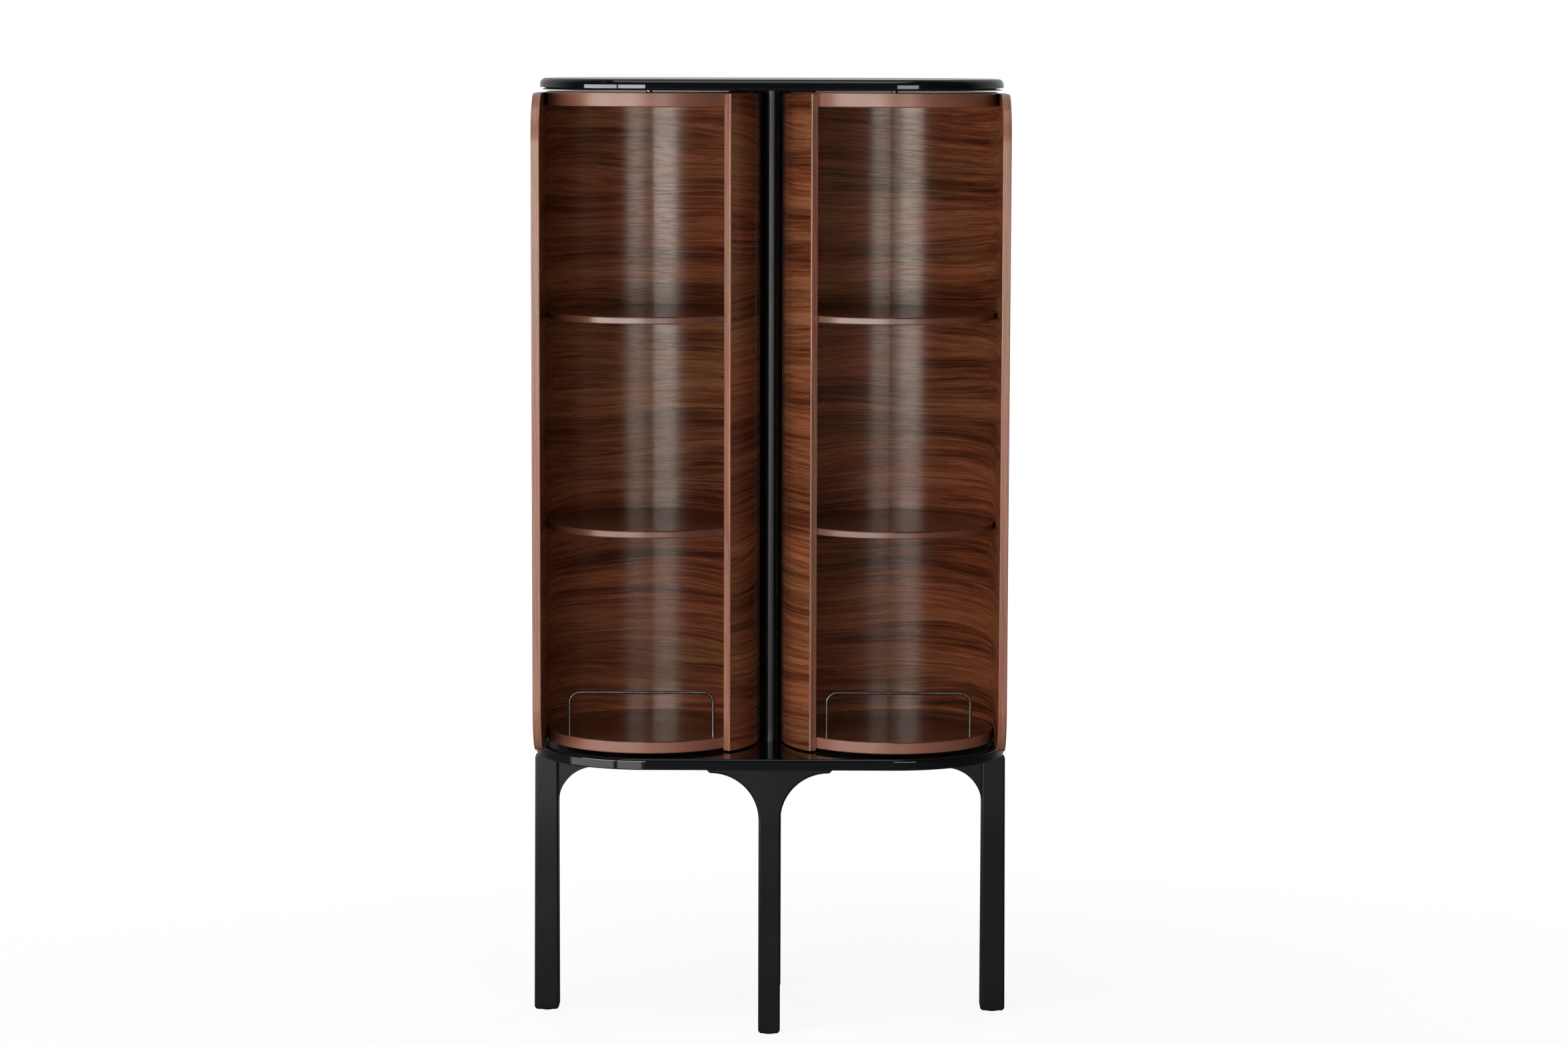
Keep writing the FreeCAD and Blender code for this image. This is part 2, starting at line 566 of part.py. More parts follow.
def make_pivots(side, drum_x):
    """Pins, bushes, thrust washer and stop pin; gives the holes in the slabs and in the boards."""
    lower_bush_bottom = "(sizes.base_height - sizes.lower_bush_length)"
    bore = "sizes.lower_pivot_radius + sizes.running_clearance"
    length = "sizes.lower_bush_length"
    bush = ring(f"{side}_lower_bush", LOWER_BUSH_RADIUS, bore, length, drum_x, lower_bush_bottom)
    keep(bush, f"{side}_lower_bush")
    bore = "sizes.upper_pivot_radius + sizes.running_clearance"
    length = "sizes.upper_bush_length"
    bush = ring(f"{side}_upper_bush", UPPER_BUSH_RADIUS, bore, length, drum_x, TOP_UNDERSIDE)
    keep(bush, f"{side}_upper_bush")
    bore = "sizes.lower_pivot_radius + sizes.washer_bore_gap"
    radius = "sizes.washer_radius"
    washer = ring(f"{side}_thrust_washer", radius, bore, "sizes.floor_gap", drum_x, "sizes.base_height")
    keep(washer, f"{side}_thrust_washer")

    lower_foot = f"({lower_bush_bottom} + sizes.pivot_end_gap)"
    lower_length = f"{FLOOR_BOTTOM} + sizes.lower_pivot_in_floor - {lower_foot}"
    radius = "sizes.lower_pivot_radius"
    pin = cylinder(f"{side}_lower_pivot", radius, lower_length, drum_x, "0", lower_foot)
    keep(pin, f"{side}_lower_pivot")
    upper_foot = f"({CEILING_TOP} - sizes.upper_pivot_in_ceiling)"
    upper_length = f"{TOP_UNDERSIDE} + sizes.upper_bush_length - sizes.pivot_end_gap - {upper_foot}"
    radius = "sizes.upper_pivot_radius"
    pin = cylinder(f"{side}_upper_pivot", radius, upper_length, drum_x, "0", upper_foot)
    keep(pin, f"{side}_upper_pivot")

    stop_foot = "sizes.base_height - sizes.stop_pin_in_base"
    stop_length = "sizes.stop_pin_in_base + sizes.floor_gap + sizes.stop_pin_in_floor"
    stop, stop_hole = dowel(
        f"{side}_stop_pin", "sizes.stop_pin_radius", stop_length,
        drum_x, "sizes.stop_track_radius", stop_foot
    )
    keep(stop, f"{side}_stop_pin")

    sockets = {
        "base_slab": (LOWER_BUSH_RADIUS, "sizes.lower_bush_length", lower_bush_bottom),
        "top_slab": (UPPER_BUSH_RADIUS, "sizes.upper_bush_length", TOP_UNDERSIDE),
        "floor": ("sizes.lower_pivot_radius", "sizes.lower_pivot_in_floor", FLOOR_BOTTOM),
        "ceiling": ("sizes.upper_pivot_radius", "sizes.upper_pivot_in_ceiling", upper_foot),
    }
    holes = {}
    for board, (radius, length, bottom) in sockets.items():
        name = f"{side}_{board}_socket"
        holes[board] = [cylinder(name, f"{radius} + sizes.glue_fit", length, drum_x, "0", bottom)]
    holes["base_slab"].append(stop_hole)
    return holes


def make_stop_groove(side, toward, drum_x):
    """Arc cut under the floor board, as long as the swing, for the stop pin behind the drum axis."""
    margin = math.degrees(math.asin(number_of(f"{STOP_REACH} / sizes.stop_track_radius")))
    swing = number_of("sizes.drum_swing")
    first = STOP_PIN_ANGLE - margin if toward < 0 else STOP_PIN_ANGLE - swing - margin
    outer = cylinder(
        f"{side}_groove_outer", f"sizes.stop_track_radius + {STOP_REACH}", "sizes.stop_groove_depth",
        drum_x, "0", FLOOR_BOTTOM, Rotation(UPWARD, first)
    )
    end_room = f"asin({STOP_REACH} / sizes.stop_track_radius)"
    outer.setExpression("Angle", f"sizes.drum_swing * 1 deg + 2 * {end_room}")
    inner = cylinder(
        f"{side}_groove_inner", f"sizes.stop_track_radius - {STOP_REACH}", "sizes.stop_groove_depth",
        drum_x, "0", FLOOR_BOTTOM
    )
    return cut(f"{side}_groove", outer, [inner])


# Drums

def make_board_dowels(side, drum_x):
    """Level dowels from every board into the wall; gives the holes by board."""
    pins = []
    holes = {}
    start = f"({BOARD_RADIUS} - sizes.board_dowel_in_board)"
    length = "sizes.board_dowel_in_board + sizes.board_fit + sizes.board_dowel_in_wall"
    for board, bottom, thickness in BOARDS:
        holes[board] = []
        for angle in BOARD_DOWEL_ANGLES:
            outward = Vector(math.cos(math.radians(angle)), math.sin(math.radians(angle)), 0)
            pin, hole = dowel(
                f"{side}_{board}_dowel_{angle}", "sizes.board_dowel_radius", length,
                f"{drum_x} + {start} * cos({angle} deg)", f"{start} * sin({angle} deg)",
                f"{bottom} + {thickness} / 2", Rotation(UPWARD, outward)
            )
            pins.append(pin)
            holes[board].append(hole)
    keep(group(f"{side}_board_dowels", pins), f"{side}_board_dowels")
    return holes


def front_profile(inset, edge):
    """Front half of a profile of the straight panel: points and bends from its top to its bottom.

    The run stands inset behind the front, and edge is 1 for a run from the top down and -1 for one back up.
    """
    front = f"-({PANEL_REACH} - {inset})"
    tangent = f"-({PANEL_REACH} - sizes.panel_corner_radius)"
    high = f"({SHELL_TOP} - sizes.panel_corner_radius)"
    low = f"({SHELL_BOTTOM} + sizes.panel_corner_radius)"
    radius = f"sizes.panel_corner_radius - {inset}"
    points = [
        (tangent, f"{SHELL_TOP} - {inset}"),
        (front, high),
        (front, low),
        (tangent, f"{SHELL_BOTTOM} + {inset}"),
    ]
    bends = [(tangent, high, radius), (tangent, low, radius)]
    return (points, bends) if edge > 0 else (points[::-1], bends[::-1])


def make_shell(side, toward, drum_x, holes):
    """Bent wall round the back with the straight panel on the outer side."""
    name = f"{side}_shell"
    body = new_body(name, drum_x)
    outer, inner = f"{-toward} * sizes.shell_radius", f"{-toward} * {SHELL_BORE}"
    section = [(outer, SHELL_BOTTOM), (inner, SHELL_BOTTOM), (inner, SHELL_TOP), (outer, SHELL_TOP)]
    bend_section = new_sketch(body, "XZ_Plane", name + "_bend_section")
    draw_path(bend_section, section)
    bend = body.newObject("PartDesign::Revolution", name + "_bend")
    bend.Profile = bend_section
    bend.ReferenceAxis = (bend_section, ["V_Axis"])
    bend.Reversed = toward > 0
    bend.setExpression("Angle", "270 - sizes.inner_edge_angle")
    panel_section = new_sketch(body, "XZ_Plane", name + "_panel_section")
    draw_path(panel_section, section)
    pad(body, panel_section, PANEL_REACH, name + "_panel")

    trim_outline = new_sketch(body, "YZ_Plane", name + "_trim_outline")
    inner_points, inner_bends = front_profile("sizes.edging_thickness", -1)
    beyond = f"-({PANEL_REACH} + {TRIM_MARGIN})"
    tangent = inner_points[0][0]
    outside = [
        (tangent, f"{SHELL_TOP} + {TRIM_MARGIN}"),
        (beyond, f"{SHELL_TOP} + {TRIM_MARGIN}"),
        (beyond, f"{SHELL_BOTTOM} - {TRIM_MARGIN}"),
        (tangent, f"{SHELL_BOTTOM} - {TRIM_MARGIN}"),
    ]
    draw_path(trim_outline, outside + inner_points, {4: inner_bends[0], 6: inner_bends[1]})
    trim = body.newObject("PartDesign::Pocket", name + "_trim")
    trim.Profile = trim_outline
    trim.Type = "ThroughAll"
    trim.Reversed = toward < 0
    keep(cut(name, body, holes), name)


def make_edgings(side, toward, drum_x):
    """Solid strips on the inner edge of the wall and round the front of the straight panel."""
    name = f"{side}_front_edging"
    body = new_body(name, drum_x)
    offset = "-sizes.shell_radius" if toward > 0 else SHELL_BORE
    outline = new_sketch(body, "YZ_Plane", name + "_outline", offset)
    outer_points, outer_bends = front_profile("0", 1)
    inner_points, inner_bends = front_profile("sizes.edging_thickness", -1)
    bends = {0: outer_bends[0], 2: outer_bends[1], 4: inner_bends[0], 6: inner_bends[1]}
    draw_path(outline, outer_points + inner_points, bends)
    strip = pad(body, outline, "sizes.shell_thickness", name + "_strip")
    reach = number_of(PANEL_REACH)

    def on_outline(edge):
        return edge.BoundBox.XLength < NEAR_ZERO and edge.BoundBox.YMin < NEAR_ZERO - reach

    round_edges(body, strip, "sizes.edging_round", name + "_rounding", on_outline)
    keep(body, name)

    name = f"{side}_inner_edging"
    body = new_body(name, drum_x)
    outline = new_sketch(body, "XY_Plane", name + "_outline", SHELL_BOTTOM)
    sine = "sin(sizes.inner_edge_angle * 1 deg)"
    cosine = "cos(sizes.inner_edge_angle * 1 deg)"

    def corner(radius, forward):
        x = f"{toward} * ({radius} * {sine} - {forward} * {cosine})"
        return x, f"-({radius} * {cosine} + {forward} * {sine})"

    points = [
        corner(SHELL_BORE, "0"),
        corner("sizes.shell_radius", "0"),
        corner("sizes.shell_radius", "sizes.edging_thickness"),
        corner(SHELL_BORE, "sizes.edging_thickness"),
    ]
    draw_path(outline, points)
    strip = pad(body, outline, f"{SHELL_TOP} - {SHELL_BOTTOM}", name + "_strip")
    fronts = [number_of(y) for _, y in points[2:]]

    def on_front(edge):
        return is_upright(edge) and min(abs(edge.BoundBox.YMin - y) for y in fronts) < NEAR_ZERO

    round_edges(body, strip, "sizes.edging_round", name + "_rounding", on_front)
    keep(body, name)


def make_board(name, drum_x, bottom, thickness, holes):
    """Round board of a drum."""
    body = new_body(name, drum_x)
    outline = new_sketch(body, "XY_Plane", name + "_outline", bottom)
    draw_circle(outline, BOARD_RADIUS)
    disc = pad(body, outline, thickness, name + "_disc")
    round_edges(body, disc, "sizes.board_edge_round", name + "_rounding", is_level)
    keep(cut(name, body, holes), name)


def make_rail(side, toward, drum_x):
    """Bent wire rail at the front of the floor board; gives the holes for its feet."""
    name = f"{side}_gallery_rail"
    body = new_body(name, drum_x)
    outer = f"{-toward} * {RAIL_OUTER}"
    inner = f"{toward} * {RAIL_INNER}"
    outer_bend = f"{-toward} * ({RAIL_OUTER} - sizes.rail_bend_radius)"
    inner_bend = f"{toward} * ({RAIL_INNER} - sizes.rail_bend_radius)"
    foot = f"({FLOOR_TOP} - sizes.rail_foot_depth)"
    level = f"({FLOOR_TOP} + sizes.rail_height - sizes.rail_wire_radius)"
    shoulder = f"({level} - sizes.rail_bend_radius)"
    route = new_sketch(body, "XZ_Plane", name + "_route", RAIL_SETOUT)
    points = [
        (outer, foot),
        (outer, shoulder),
        (outer_bend, level),
        (inner_bend, level),
        (inner, shoulder),
        (inner, foot),
    ]
    bends = {
        1: (outer_bend, shoulder, "sizes.rail_bend_radius"),
        3: (inner_bend, shoulder, "sizes.rail_bend_radius"),
    }
    draw_path(route, points, bends, closed=False)
    section = new_sketch(body, "XY_Plane", name + "_section", foot)
    draw_circle(section, "sizes.rail_wire_radius", outer, f"-{RAIL_SETOUT}")
    wire = body.newObject("PartDesign::AdditivePipe", name + "_wire")
    wire.Profile = section
    wire.Spine = route
    keep(body, name)
    holes = []
    for end, x in (("outer", outer), ("inner", inner)):
        hole = cylinder(
            f"{side}_rail_{end}_hole", "sizes.rail_wire_radius + sizes.glue_fit", "sizes.rail_foot_depth",
            f"{drum_x} + {x}", f"-{RAIL_SETOUT}", foot
        )
        holes.append(hole)
    return holes


def make_drum(side, toward, drum_x, pivot_holes):
    """Everything that turns on one side."""
    dowel_holes = make_board_dowels(side, drum_x)
    make_shell(side, toward, drum_x, [hole for holes in dowel_holes.values() for hole in holes])
    make_edgings(side, toward, drum_x)
    other_holes = {
        "floor": make_rail(side, toward, drum_x) + [make_stop_groove(side, toward, drum_x)],
    }
    for board, bottom, thickness in BOARDS:
        holes = dowel_holes[board] + pivot_holes.get(board, []) + other_holes.get(board, [])
        make_board(f"{side}_{board}", drum_x, bottom, thickness, holes)


def make_armoire():
    """All pieces of the stand, the spine and the two drums."""
    leg_holes = make_leg_dowels()
    spine_holes = make_spine_dowels()
    base_holes = [hole for holes in leg_holes.values() for hole in holes] + spine_holes["base_slab"]
    top_holes = list(spine_holes["top_slab"])
    for side, toward in SIDES:
        drum_x = f"{-toward} * {DRUM_AXIS}"
        pivot_holes = make_pivots(side, drum_x)
        base_holes += pivot_holes["base_slab"]
        top_holes += pivot_holes["top_slab"]
        make_drum(side, toward, drum_x, pivot_holes)
    make_slab(
        "base_slab", BASE_END_RADIUS, BASE_UNDERSIDE, "sizes.base_thickness",
        "sizes.base_upper_round", "sizes.base_lower_round", base_holes
    )
    make_slab(
        "top_slab", TOP_END_RADIUS, TOP_UNDERSIDE, "sizes.top_thickness",
        "sizes.top_upper_round", "sizes.top_lower_round", top_holes
    )
    make_middle_leg("front_leg", Rotation(), leg_holes["front_leg"])
    make_middle_leg("back_leg", HALF_TURN, leg_holes["back_leg"])
    make_side_leg("left_leg", Rotation(), leg_holes["left_leg"])
    make_side_leg("right_leg", HALF_TURN, leg_holes["right_leg"])
    make_glides()
    make_post(spine_holes["centre_post"])
    make_back_panel(spine_holes["back_panel"])


def check_model():
    """Stop where an object failed or a piece is empty, broken or not made of whole solids."""
    for thing in doc.Objects:
        if "Invalid" in thing.State or "Error" in thing.State:
            raise RuntimeError(f"{thing.Name} failed: {thing.State}")
    for thing in nodes:
        shape = thing.Shape
        if shape.isNull() or not shape.isValid() or not shape.Solids:
            raise RuntimeError(f"{thing.Label} has no valid solid")


make_armoire()
doc.recompute()
check_model()
os.makedirs("parts", exist_ok=True)
for thing in nodes:
    thing.Shape.exportStep(f"parts/{thing.Label}.step")
    print(f"{thing.Label}: {len(thing.Shape.Solids)} solids, {thing.Shape.Volume / 1000:.1f} cm3")
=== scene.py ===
"""Looks of a bar armoire: two revolving walnut drums between black lacquered boards, on four black legs.

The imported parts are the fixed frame.  This script gives every part its finish, adds the small fasteners of
the back panel, and sets the studio: a pale floor, soft lights and the camera.  Lengths are in metres.
"""
from __future__ import annotations

import logging
import math
from dataclasses import dataclass, replace
from enum import Enum
from typing import Union

import bpy
import numpy as np
from mathutils import Matrix, Vector


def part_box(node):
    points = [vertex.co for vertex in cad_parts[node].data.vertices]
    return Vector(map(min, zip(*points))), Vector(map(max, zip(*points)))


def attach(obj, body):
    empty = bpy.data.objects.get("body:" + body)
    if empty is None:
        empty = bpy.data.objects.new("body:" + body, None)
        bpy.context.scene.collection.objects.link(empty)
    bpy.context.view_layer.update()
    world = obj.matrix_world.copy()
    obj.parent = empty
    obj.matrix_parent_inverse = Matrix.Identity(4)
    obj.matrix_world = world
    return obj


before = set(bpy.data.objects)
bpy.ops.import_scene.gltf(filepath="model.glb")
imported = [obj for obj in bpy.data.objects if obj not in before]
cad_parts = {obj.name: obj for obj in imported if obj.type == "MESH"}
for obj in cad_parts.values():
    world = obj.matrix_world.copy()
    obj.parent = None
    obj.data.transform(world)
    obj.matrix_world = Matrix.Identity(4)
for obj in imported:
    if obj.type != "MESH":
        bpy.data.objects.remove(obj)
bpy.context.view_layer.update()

LOG = logging.getLogger("armoire")
PHOTO_WIDTH = 2352
SENSOR_WIDTH = 36.0
WHITE = (1.0, 1.0, 1.0, 1.0)

Colour = tuple[float, float, float]
Triple = tuple[float, float, float]
Socket = bpy.types.NodeSocket
Outputs = bpy.types.bpy_prop_collection
Feed = Union[Socket, float, tuple]
Groups = dict[str, bpy.types.NodeTree]

# Socket numbers of a Mix node, whose sockets share their names
MIX_SHARE = 0
MIX_VALUES = (2, 3)
MIX_COLOURS = (6, 7)
MIXED_VALUE = 0
MIXED_COLOUR = 2


class Side(Enum):
    """The two halves of the cabinet, with the direction of X from the middle outwards."""

    LEFT = -1
    RIGHT = 1

    @property
    def prefix(self) -> str:
        """First word of the names of the parts on this side."""
        return self.name.lower()


class GrainRun(Enum):
    """How the grain of a wooden part runs."""

    BENT = "level, round the bend of a drum wall"
    LEVEL = "level, from side to side"
    UPRIGHT = "up and down"


# Node trees


class NodeCanvas:
    """Adds nodes to one shader tree and joins them."""

    def __init__(self, tree: bpy.types.NodeTree) -> None:
        """Start on an empty tree.

        Args:
            tree: the node tree of a material, a world or a node group.
        """
        self.tree = tree
        tree.nodes.clear()

    def add(self, kind: str, inputs: dict | None = None, **settings: object) -> bpy.types.Node:
        """Add one node.

        Args:
            kind: the node's type name.
            inputs: feeds by socket name or number.
            settings: the node's own properties.

        Returns:
            The new node.
        """
        node = self.tree.nodes.new(kind)
        for key, value in settings.items():
            setattr(node, key, value)
        for key, feed in (inputs or {}).items():
            self.feed(node.inputs[key], feed)
        return node

    def feed(self, socket: Socket, feed: Feed) -> None:
        """Join a socket to another socket, or set its value.

        Args:
            socket: the input to fill.
            feed: an output socket, a number or a tuple.
        """
        if isinstance(feed, bpy.types.NodeSocket):
            self.tree.links.new(feed, socket)
        else:
            socket.default_value = feed

    def math(self, operation: str, first: Feed, second: Feed = 0.0, third: Feed = 0.0) -> Socket:
        """Result of one Math node on up to three feeds."""
        return self.add("ShaderNodeMath", {0: first, 1: second, 2: third}, operation=operation).outputs[0]

    def split(self, vector: Feed) -> Outputs:
        """The three parts of a vector."""
        return self.add("ShaderNodeSeparateXYZ", {0: vector}).outputs

    def join(self, first: Feed, second: Feed, third: Feed) -> Socket:
        """A vector of three parts."""
        return self.add("ShaderNodeCombineXYZ", {0: first, 1: second, 2: third}).outputs[0]

    def stretch(self, vector: Feed, scale: Triple) -> Socket:
        """A vector scaled by a factor for each axis."""
        return self.add("ShaderNodeVectorMath", {0: vector, 1: scale}, operation="MULTIPLY").outputs[0]

    def noise(self, vector: Feed, scale: Feed, detail: float, roughness: float = 0.5) -> Socket:
        """Value of a fractal noise, from 0 to 1."""
        inputs = {"Vector": vector, "Scale": scale, "Detail": detail, "Roughness": roughness}
        return self.add("ShaderNodeTexNoise", inputs).outputs[0]

    def span(self, value: Feed, low: float, high: float, start: float = 0.0, end: float = 1.0) -> Socket:
        """A value carried smoothly from the range low..high to the range start..end."""
        inputs = {"Value": value, "From Min": low, "From Max": high, "To Min": start, "To Max": end}
        return self.add("ShaderNodeMapRange", inputs, interpolation_type="SMOOTHSTEP").outputs[0]

    def blend(self, share: Feed, first: Feed, second: Feed, mode: str = "MIX") -> Socket:
        """Two colours blended by a share."""
        inputs = {MIX_SHARE: share, MIX_COLOURS[0]: first, MIX_COLOURS[1]: second}
        return self.add("ShaderNodeMix", inputs, data_type="RGBA", blend_type=mode).outputs[MIXED_COLOUR]

    def pick(self, share: Feed, first: Feed, second: Feed) -> Socket:
        """Two values blended by a share."""
        inputs = {MIX_SHARE: share, MIX_VALUES[0]: first, MIX_VALUES[1]: second}
        return self.add("ShaderNodeMix", inputs, data_type="FLOAT").outputs[MIXED_VALUE]

    def ramp(self, value: Feed, stops: tuple[tuple[float, Colour], ...]) -> Socket:
        """Colour of a value on a ramp.

        Args:
            value: the place on the ramp.
            stops: places and colours, at least two.

        Returns:
            The colour.
        """
        node = self.add("ShaderNodeValToRGB", {0: value})
        elements = node.color_ramp.elements
        for index, (place, colour) in enumerate(stops):
            element = elements[index] if index < len(elements) else elements.new(place)
            element.position = place
            element.color = (*colour, 1.0)
        return node.outputs[0]

    def bump(self, height: Feed, distance: float, strength: float = 1.0) -> Socket:
        """Normal of a surface raised by a height."""
        inputs = {"Height": height, "Distance": distance, "Strength": strength}
        return self.add("ShaderNodeBump", inputs).outputs[0]

    def surface(self, inputs: dict) -> None:
        """Close a material with one Principled shader."""
        shader = self.add("ShaderNodeBsdfPrincipled", inputs)
        self.add("ShaderNodeOutputMaterial", {"Surface": shader.outputs[0]})


@dataclass(frozen=True)
class NoiseLayer:
    """One noise of a pattern.

    Attributes:
        stretch: scale of the noise along each axis.
        detail: how many finer noises lie on the first.
        roughness: how strong the finer ones are.
        low, high: values of the noise that become 0 and 1 in its mask.
    """

    stretch: Triple
    detail: float
    roughness: float = 0.5
    low: float = 0.3
    high: float = 0.7

    def value(self, canvas: NodeCanvas, vector: Feed) -> Socket:
        """The noise itself."""
        return canvas.noise(canvas.stretch(vector, self.stretch), 1.0, self.detail, self.roughness)

    def spread(self, canvas: NodeCanvas, value: Feed) -> Socket:
        """A value of the noise, carried from the range low..high to 0..1."""
        return canvas.span(value, self.low, self.high)

    def mask(self, canvas: NodeCanvas, vector: Feed) -> Socket:
        """The noise, carried from the range low..high to 0..1."""
        return self.spread(canvas, self.value(canvas, vector))


def new_group(
    name: str, inputs: dict[str, tuple[str, object]], outputs: tuple[str, ...]
) -> tuple[NodeCanvas, bpy.types.Node, bpy.types.Node]:
    """Make an empty shader node group.

    Args:
        name: the group's name.
        inputs: socket type and default value by input name.
        outputs: names of the value outputs.

    Returns:
        The canvas, the group's input node and its output node.
    """
    tree = bpy.data.node_groups.new(name, "ShaderNodeTree")
    for label, (kind, value) in inputs.items():
        socket = tree.interface.new_socket(label, in_out="INPUT", socket_type=kind)
        socket.default_value = value
    for label in outputs:
        tree.interface.new_socket(label, in_out="OUTPUT", socket_type="NodeSocketFloat")
    canvas = NodeCanvas(tree)
    return canvas, canvas.add("NodeGroupInput"), canvas.add("NodeGroupOutput")


@dataclass(frozen=True)
class WoodFigure:
    """Shared node group for the figure of wood along its grain.

    The vector runs along the grain, across it and into it.  The run across is bent by a slow noise and a
    quick one, and divided by the band width it counts the bands.  Bands, streaks and lines are noises of that
    count, each longer along the grain than across it.  Late wood is a thin dark line in a band: a power of a
    sine, lifted to 0..1, whose turns crowd and thin out with the bands, broken up by one more noise.  Pores
    are short dark dashes.

    Attributes:
        slow_bend, quick_bend: noises that bend the run across the grain.
        slow_reach, quick_reach: how far they bend it.
        bands, streaks, lines, fibre: layers of the tone, from the broadest to the finest.
        late_break: where the late wood shows.
        pores: the dashes.
        band_weight, streak_weight, line_weight, fibre_weight, late_weight: what the layers add to the tone.
        late_turns: lines of late wood in one band.
        late_crowding: how far the bands push these lines, in radians.
        late_power: how thin the lines are.
        fibre_height, pore_height: what the fibre and the pores add to the height.
    """

    slow_bend: NoiseLayer = NoiseLayer((1.1, 3.2, 3.2), 2.0)
    quick_bend: NoiseLayer = NoiseLayer((5.0, 26.0, 26.0), 2.0)
    slow_reach: float = 0.17
    quick_reach: float = 0.009
    bands: NoiseLayer = NoiseLayer((1.2, 0.55, 1.0), 3.0)
    streaks: NoiseLayer = NoiseLayer((3.0, 4.2, 1.0), 4.0, 0.6, low=0.32, high=0.68)
    lines: NoiseLayer = NoiseLayer((6.5, 12.0, 1.0), 3.0, 0.6)
    fibre: NoiseLayer = NoiseLayer((9.0, 480.0, 80.0), 3.0, 0.65)
    late_break: NoiseLayer = NoiseLayer((3.2, 1.3, 1.0), 2.0, low=0.42, high=0.66)
    pores: NoiseLayer = NoiseLayer((20.0, 620.0, 150.0), 1.5, low=0.55, high=0.66)
    band_weight: float = 0.27
    streak_weight: float = 0.24
    line_weight: float = 0.18
    fibre_weight: float = 0.30
    late_weight: float = -0.15
    late_turns: float = 0.8
    late_crowding: float = 7.0
    late_power: float = 6.0
    fibre_height: float = 0.35
    pore_height: float = -0.65

    def build(self) -> bpy.types.NodeTree:
        """Make the group.

        Returns:
            The group, with Tone, Fibre and Pores from about 0 to 1, and Height.
        """
        inputs = {
            "Vector": ("NodeSocketVector", (0.0, 0.0, 0.0)),
            "Band Width": ("NodeSocketFloat", 0.03),
            "Wander": ("NodeSocketFloat", 1.0),
        }
        canvas, given, result = new_group("wood_figure", inputs, ("Tone", "Fibre", "Pores", "Height"))
        vector = given.outputs["Vector"]
        along, straight, inward = canvas.split(vector)
        bend = canvas.math("ADD", *self.bends(canvas, vector))
        across = canvas.math("MULTIPLY_ADD", bend, given.outputs["Wander"], straight)
        bent = canvas.join(along, across, inward)
        turns = canvas.math("DIVIDE", across, given.outputs["Band Width"])
        counted = canvas.join(along, turns, inward)
        bands = self.bands.mask(canvas, counted)
        late = self.late_wood(canvas, bands, turns)
        fibre = self.fibre.value(canvas, bent)
        pores = self.pores.mask(canvas, bent)
        layers = (
            (bands, self.band_weight),
            (self.streaks.mask(canvas, counted), self.streak_weight),
            (self.lines.mask(canvas, counted), self.line_weight),
            (fibre, self.fibre_weight),
            (canvas.math("MULTIPLY", late, self.late_break.mask(canvas, counted)), self.late_weight),
        )
        tone = 0.0
        for layer, weight in layers:
            tone = canvas.math("MULTIPLY_ADD", layer, weight, tone)
        sunk = canvas.math("MULTIPLY", pores, self.pore_height)
        height = canvas.math("MULTIPLY_ADD", fibre, self.fibre_height, sunk)
        for label, value in (("Tone", tone), ("Fibre", fibre), ("Pores", pores), ("Height", height)):
            canvas.feed(result.inputs[label], value)
        return canvas.tree

    def bends(self, canvas: NodeCanvas, vector: Socket) -> list[Socket]:
        """How far the slow and the quick noise bend the run, to either side.

        Args:
            canvas: the canvas of the group.
            vector: the run along the grain, across it and into it.

        Returns:
            The two lengths.
        """
        lengths = []
        for layer, reach in ((self.slow_bend, self.slow_reach), (self.quick_bend, self.quick_reach)):
            centred = canvas.math("SUBTRACT", layer.value(canvas, vector), 0.5)
            lengths.append(canvas.math("MULTIPLY", centred, reach))
        return lengths

    def late_wood(self, canvas: NodeCanvas, bands: Socket, turns: Socket) -> Socket:
        """Unbroken lines of late wood.

        Args:
            canvas: the canvas of the group.
            bands: the mask of the bands.
            turns: the count of the bands.

        Returns:
            One on a line and zero between the lines.
        """
        phase = canvas.math("MULTIPLY", turns, 2.0 * math.pi * self.late_turns)
        phase = canvas.math("MULTIPLY_ADD", bands, self.late_crowding, phase)
        lifted = canvas.math("MULTIPLY_ADD", canvas.math("SINE", phase), 0.5, 0.5)
        return canvas.math("POWER", lifted, self.late_power)


